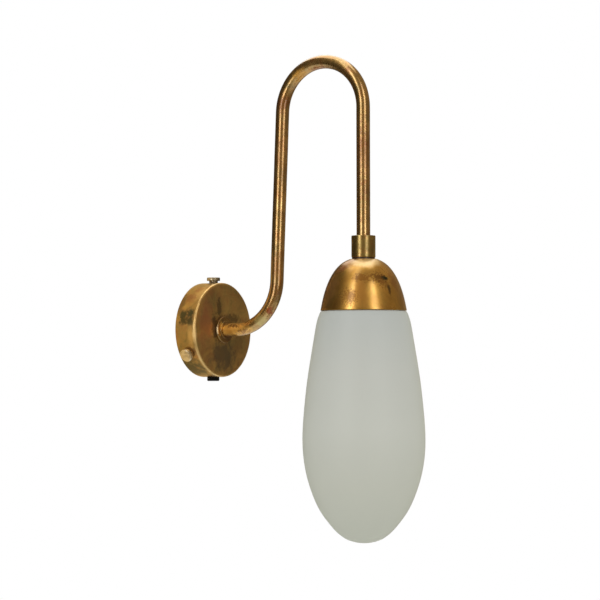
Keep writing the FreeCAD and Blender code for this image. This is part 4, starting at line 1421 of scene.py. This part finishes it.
@dataclass
class Shade(SubAssembly):
    """The blown glass shade, closed at its foot and open at its neck."""

    radius: float = 53.25
    shoulder: float = 14.5
    height: float = 200.6
    wall: float = 3.0
    waves: Waves = Waves(0.25, 45.0)
    shoulder_radius: float = 37.5
    neck_radius: float = 31.0
    neck_top: float = 29.0
    pole_radius: float = 16.5
    pole_depth: float = 3.9
    ceiling_gap: float = 0.5
    ceiling_inset: float = 0.2
    # Drop below the shoulder as a share of the height, and radius as a share of the widest one
    flank_shares: tuple[Point, ...] = (
        (0.030, 0.7465), (0.090, 0.7950), (0.195, 0.8605), (0.300, 0.9215), (0.400, 0.9640), (0.490, 0.9920),
        (0.558, 1.0000), (0.630, 0.9850), (0.710, 0.9320), (0.790, 0.8390), (0.865, 0.7070), (0.920, 0.5570),
        (0.956, 0.4330),
    )
    # Steps across and up from a corner to the points that round it
    shoulder_roll: tuple[Point, ...] = ((-0.1, -0.45), (-0.5, -0.1), (-1.0, 0.0))
    neck_roll: tuple[Point, ...] = ((1.2, 0.0), (0.35, 0.35), (0.0, 1.2))
    lip_roll: tuple[Point, ...] = ((-0.3, -0.3), (-1.0, 0.0))
    bore_roll: tuple[Point, ...] = ((1.0, 0.0), (0.3, -0.3), (0.0, -1.0))
    # Steps up the neck from the shoulder, and down its bore from the top
    neck_rises: tuple[Point, ...] = ((0.0, 4.0), (0.0, 7.0), (0.0, 10.0), (0.0, 13.0))
    bore_drops: tuple[Point, ...] = ((0.0, -5.0), (0.0, -10.0), (0.0, -15.0))
    flank_steps: int = 84
    outer_dish_steps: int = 9
    inner_dish_steps: int = 7

    def dish(self, edge: Point, pole: float, steps: int) -> list[Point]:
        """Draws the shallow dish at the foot, from the axis out to its edge.

        Args:
            edge: Radius and station of the dish's edge.
            pole: Station of the dish on the axis.
            steps: Steps along the dish.

        Returns:
            The points, without the edge itself.
        """
        depth = edge[1] - pole
        bend = (edge[0] ** 2 + depth ** 2) / (2 * depth)
        full = math.asin(edge[0] / bend)
        turns = [full * step / steps for step in range(steps)]
        return [(bend * math.sin(turn), pole + bend - bend * math.cos(turn)) for turn in turns]

    def glass(self) -> Piece:
        """Blows the shade as one closed wall around its hollow.

        Returns:
            The shade.
        """
        pole = self.shoulder - self.height
        knots = [(self.pole_radius, pole + self.pole_depth)]
        for drop, share in reversed(self.flank_shares):
            knots.append((self.radius * share, self.shoulder - self.height * drop))
        knots.append((self.shoulder_radius, self.shoulder))
        flank = smooth_through(knots, self.flank_steps)
        ceiling = self.shoulder - self.wall
        lining = [tuple(p) for p in moved_in(flank, self.wall) if p[1] < ceiling - self.ceiling_gap]
        bore = self.neck_radius - self.wall
        outer = [tuple(p) for p in flank[:-1]]
        outline = self.dish(outer[0], pole, self.outer_dish_steps) + outer
        outline += stepped(self.shoulder_radius, self.shoulder, self.shoulder_roll)
        outline += stepped(self.neck_radius, self.shoulder, self.neck_roll + self.neck_rises)
        outline += stepped(self.neck_radius, self.neck_top, self.lip_roll)
        outline += stepped(bore, self.neck_top, self.bore_roll + self.bore_drops)
        ceiling_edge = lining[-1][0] - self.ceiling_inset
        outline += [(bore, ceiling), (bore + self.wall, ceiling), (ceiling_edge, ceiling)]
        outline += lining[::-1] + self.dish(lining[0], pole + self.wall, self.inner_dish_steps)[::-1]
        piece = turned("blown_glass_shade", outline, SHADE_AXIS, UP, steps=128, smooth_degrees=50.0)
        self.waves.work(piece)
        return piece

    def build(self) -> None:
        """Builds the shade."""
        self.place(self.glass(), Coat.FROSTED_GLASS, "shade", "frosted_glass", "glass_shade")


@dataclass
class Holder(SubAssembly):
    """The lampholder and the bulb."""

    base_radius: float = 6.95
    base_top: float = -1.2
    glass_top: float = -23.2
    thread_depth: float = 0.6
    thread_drop: float = 2.4
    pitch: float = 2.82
    turns: int = 6
    turn_steps: int = 8
    # Steps out and up from the middle of the base's end, and from the foot of its skirt
    end_roll: tuple[Point, ...] = ((0.0, 0.0), (3.6, 0.0), (5.2, -0.8), (5.9, -1.8))
    skirt_roll: tuple[Point, ...] = ((0.0, 1.4), (0.0, 0.3), (-0.3, 0.0))

    def bulb_base(self) -> Piece:
        """Turns the bulb's base with its rolled round thread.

        Returns:
            The base.
        """
        outline = stepped(0.0, self.base_top, self.end_roll)
        root = self.base_radius - self.thread_depth
        start = self.base_top - self.thread_drop
        for step in range(self.turns * self.turn_steps + 1):
            wave = (1 - math.cos(math.tau * step / self.turn_steps)) / 2
            outline.append((root + self.thread_depth * wave, start - self.pitch * step / self.turn_steps))
        outline += stepped(self.base_radius, self.glass_top, self.skirt_roll)
        outline += [(root, self.glass_top), (0.0, self.glass_top)]
        return turned("bulb_screw_base", outline, SHADE_AXIS, UP, steps=64, smooth_degrees=60.0)

    def build(self) -> None:
        """Builds the threaded base and dresses the holder and the bulb."""
        self.place(self.bulb_base(), Coat.PLAIN_BRASS, "bulb", "plain_brass", "bulb_base")
        self.keep(Coat.OPAL_GLASS, "bulb_glass")
        self.keep(Coat.SOLDER, "bulb_contact")
        self.keep(Coat.PHENOLIC, "holder_dome", "holder_body")
        self.keep(Coat.CERAMIC, "contact_block")
        self.keep(Coat.PLAIN_BRASS, "contact_screws", "screw_shell")
        self.keep(Coat.SPRING_STEEL, "centre_contact")


# Camera, floor, world and lights, with sizes in metres

@dataclass(frozen=True)
class Sector:
    """A value that changes smoothly around one direction of the room.

    Attributes:
        reach: Angles from the middle where the change starts and where it is complete, in degrees.
        levels: Values outside the sector and in its middle.
    """

    reach: Range
    levels: Range

    def value(self, tree: Tree, way: Source, centre: Vector) -> Node:
        """Builds the value.

        Args:
            tree: The world's node tree.
            way: The direction looked in.
            centre: The direction in the sector's middle.

        Returns:
            The node that gives the value.
        """
        near = add_node(tree, "VectorMath", {0: way, 1: centre}, operation="DOT_PRODUCT")
        outer, inner = (math.cos(math.radians(angle)) for angle in self.reach)
        outside, middle = self.levels
        levels = {"From Min": outer, "From Max": inner, "To Min": outside, "To Max": middle}
        return add_node(tree, "MapRange", {"Value": near, **levels}, **SMOOTH)


@dataclass
class Studio:
    """The photographer's room: a white backdrop, strip lights either side, a soft light above."""

    target: Vector = Vector((0.0, -0.113, 0.027))
    camera_place: Vector = Vector((-1.42288, -1.09433, -0.03325))
    camera_right: Vector = Vector((0.57014, -0.82155, -0.00126))
    camera_up: Vector = Vector((-0.02715, -0.02038, 0.99942))
    camera_back: Vector = Vector((-0.82110, -0.56977, -0.03393))
    lens: float = 117.1
    floor_height: float = -1.9
    floor_radius: float = 4.0
    ambient: float = 0.93
    room_colour: str = "#FFE0AC"
    sheet: Sector = Sector((14.0, 6.0), (0.0, 1.0))
    upper: Sector = Sector((72.0, 48.0), (0.24, 0.38))
    flag: Sector = Sector((70.0, 46.0), (1.0, 0.25))
    flag_degrees: float = -118.0
    card_radius: float = 0.076
    card_width: float = 0.036
    card_end: float = 0.006
    card_behind: float = 0.0008
    card_range: float = 0.135
    card_level: float = 0.66
    card_colour: str = "#FFDC97"
    left_degrees: float = -37.0
    right_degrees: float = 31.0
    high_degrees: float = 62.0

    def camera(self) -> None:
        """Sets up the camera at the photograph's place and angle."""
        data = bpy.data.cameras.new("photo_camera")
        data.lens = self.lens
        data.sensor_width = 36.0
        data.clip_start, data.clip_end = 0.05, 50.0
        camera = bpy.data.objects.new("photo_camera", data)
        bpy.context.scene.collection.objects.link(camera)
        turn = Matrix((self.camera_right, self.camera_up, self.camera_back)).transposed()
        camera.matrix_world = Matrix.Translation(self.camera_place) @ turn.to_4x4()
        bpy.context.scene.camera = camera

    def floor(self) -> None:
        """Lays a pale round floor that fades into the white at its edge."""
        select_only()
        bpy.ops.mesh.primitive_circle_add(
            vertices=96, radius=self.floor_radius, fill_type="NGON", location=(0, 0, self.floor_height)
        )
        piece = bpy.context.active_object
        piece.name = "studio_floor"
        made = bpy.data.materials.new("pale_painted_floor")
        tree = empty_tree(made)
        coords = add_node(tree, "TexCoord").outputs["Object"]
        distance = add_node(tree, "VectorMath", {0: coords}, operation="LENGTH")
        levels = {"From Min": self.floor_radius * 0.4, "From Max": self.floor_radius}
        fade = add_node(tree, "MapRange", {"Value": distance, **levels}, **SMOOTH)
        _, colours = clouded(tree, coords, 1000 / 3, ((0.3, "#E9E9E7"), (0.7, "#F0F0EE")), Detail=3.0)
        paint = add_node(tree, "BsdfPrincipled", {"Base Color": colours, "Roughness": 0.9})
        clear = add_node(tree, "BsdfTransparent")
        mixed = add_node(tree, "MixShader", {0: fade, 1: paint, 2: clear})
        add_node(tree, "OutputMaterial", {"Surface": mixed})
        piece.data.materials.append(made)

    def card(self) -> None:
        """Puts an arc of card on the wall around the canopy, whose side mirrors its cream light."""
        select_only()
        bpy.ops.mesh.primitive_circle_add(
            vertices=96, radius=self.card_radius, fill_type="NGON", location=(0, self.card_behind, 0),
            rotation=(math.pi / 2, 0, 0),
        )
        piece = bpy.context.active_object
        bpy.ops.object.mode_set(mode="EDIT")
        bpy.ops.mesh.select_all(action="SELECT")
        bpy.ops.mesh.inset(thickness=self.card_width)
        bpy.ops.mesh.delete(type="FACE")
        bpy.ops.mesh.select_all(action="DESELECT")
        bpy.ops.object.mode_set(mode="OBJECT")
        for face in piece.data.polygons:
            face.select = face.center.x > self.card_end
        bpy.ops.object.mode_set(mode="EDIT")
        bpy.ops.mesh.delete(type="FACE")
        bpy.ops.object.mode_set(mode="OBJECT")
        piece.name = "studio_card"
        Coat.CARD.finish.dress(piece)
        tree = piece.active_material.node_tree
        output = next(node for node in tree.nodes if node.type == "OUTPUT_MATERIAL")
        matt = output.inputs["Surface"].links[0].from_socket
        rays = add_node(tree, "LightPath").outputs
        lit = add_node(tree, "Emission", {"Color": linear(self.card_colour), "Strength": self.card_level})
        # only what is close to the card mirrors it, so that it leaves the cap alone
        close = add_node(tree, "Math", {0: rays["Ray Length"], 1: self.card_range}, operation="LESS_THAN")
        clear = add_node(tree, "BsdfTransparent")
        mirrored = add_node(tree, "MixShader", {0: close, 1: clear, 2: lit})
        mixed = add_node(tree, "MixShader", {0: rays["Is Glossy Ray"], 1: matt, 2: mirrored})
        tree.links.new(mixed.outputs["Shader"], output.inputs["Surface"])
        piece.visible_camera = False

    def world(self) -> None:
        """Lights the room softly, with the white backdrop seen directly and in gloss and glass."""
        world = bpy.data.worlds.new("white_studio")
        bpy.context.scene.world = world
        tree = empty_tree(world)
        way = add_node(tree, "TexCoord").outputs["Generated"]
        sheet = self.sheet.value(tree, way, -self.camera_back)
        upper = self.upper.value(tree, way, UP)
        flag_way = Matrix.Rotation(math.radians(self.flag_degrees), 3, "Z") @ self.camera_back
        flag = self.flag.value(tree, way, flag_way)
        mirrored = add_node(tree, "Math", {0: upper, 1: flag}, operation="MULTIPLY")
        rays = add_node(tree, "LightPath").outputs
        glossy, through = rays["Is Glossy Ray"], rays["Is Transmission Ray"]
        mirrors = add_node(tree, "Math", {0: glossy, 1: through}, operation="MAXIMUM")
        sheet_seen = add_node(tree, "Math", {0: mirrors, 1: sheet}, operation="MULTIPLY")
        seen = {0: sheet_seen, 1: rays["Is Camera Ray"]}
        white_share = add_node(tree, "Math", seen, operation="MAXIMUM")
        level = add_node(tree, "MapRange", {"Value": mirrors, "To Min": self.ambient, "To Max": mirrored})
        hues = {0: mirrors, MIX_A: linear("#FFFFFF"), MIX_B: linear(self.room_colour)}
        hue = add_node(tree, "Mix", hues, data_type="RGBA")
        room = add_node(tree, "Background", {"Color": hue, "Strength": level})
        white = add_node(tree, "Background", {"Color": linear("#FFFFFF"), "Strength": 1.0})
        mixed = add_node(tree, "MixShader", {0: white_share, 1: room, 2: white})
        add_node(tree, "OutputWorld", {"Surface": mixed})

    def lamp(
        self, name: str, place: Vector, turn: Quaternion, size: tuple[float, float], radiance: float
    ) -> None:
        """Hangs one soft rectangular light that gloss alone shows.

        Args:
            name: The light's name.
            place: Where it hangs, from the middle of the lamp.
            turn: How it is turned from facing straight down.
            size: Its width and height.
            radiance: How bright its face is, where one is white.
        """
        data = bpy.data.lights.new(name, "AREA")
        data.shape = "RECTANGLE"
        data.size, data.size_y = size
        data.energy = radiance * math.pi * size[0] * size[1]
        light = bpy.data.objects.new(name, data)
        bpy.context.scene.collection.objects.link(light)
        light.location = self.target + place
        light.rotation_euler = turn.to_euler()
        light.visible_camera = light.visible_diffuse = False

    def lights(self) -> None:
        """Hangs strips left and right of the camera, one high on the left, and a soft light above."""
        towards = Vector((self.camera_back.x, self.camera_back.y, 0.0)).normalized()
        sides = (math.radians(self.left_degrees), math.radians(self.right_degrees))
        left, right = (Matrix.Rotation(side, 3, "Z") @ towards for side in sides)
        climb = math.radians(self.high_degrees)
        high = left * math.cos(climb) + UP * math.sin(climb)
        for name, way, place, size, radiance in (
            ("left_strip", left, left * 1.5 + UP * 0.6, (0.42, 1.9), 3.5),
            ("left_high_strip", high, high * 1.9, (0.5, 1.1), 1.5),
            ("right_strip", right, right * 1.5 + UP * 0.6, (0.42, 1.9), 3.1),
        ):
            self.lamp(name, place, (-way).to_track_quat("-Z", "Y"), size, radiance)
        above = towards * -0.95 - self.camera_right * 0.15 + UP * 1.3
        self.lamp("overhead", above, towards.to_track_quat("Y", "Z"), (1.3, 2.4), 1.55)

    def build(self) -> None:
        """Sets up the whole room."""
        self.camera()
        self.floor()
        self.card()
        self.world()
        self.lights()


def main() -> None:
    """Builds the studio and every sub-assembly of the lamp in order."""
    logging.basicConfig(level=logging.INFO, format="%(name)s %(message)s")
    bpy.context.scene.view_settings.view_transform = "Standard"
    Studio().build()
    groups: tuple[SubAssembly, ...] = (Canopy(), Arm(), Head(), Shade(), Holder())
    for group in groups:
        group.build()


if __name__ == "__main__":
    main()
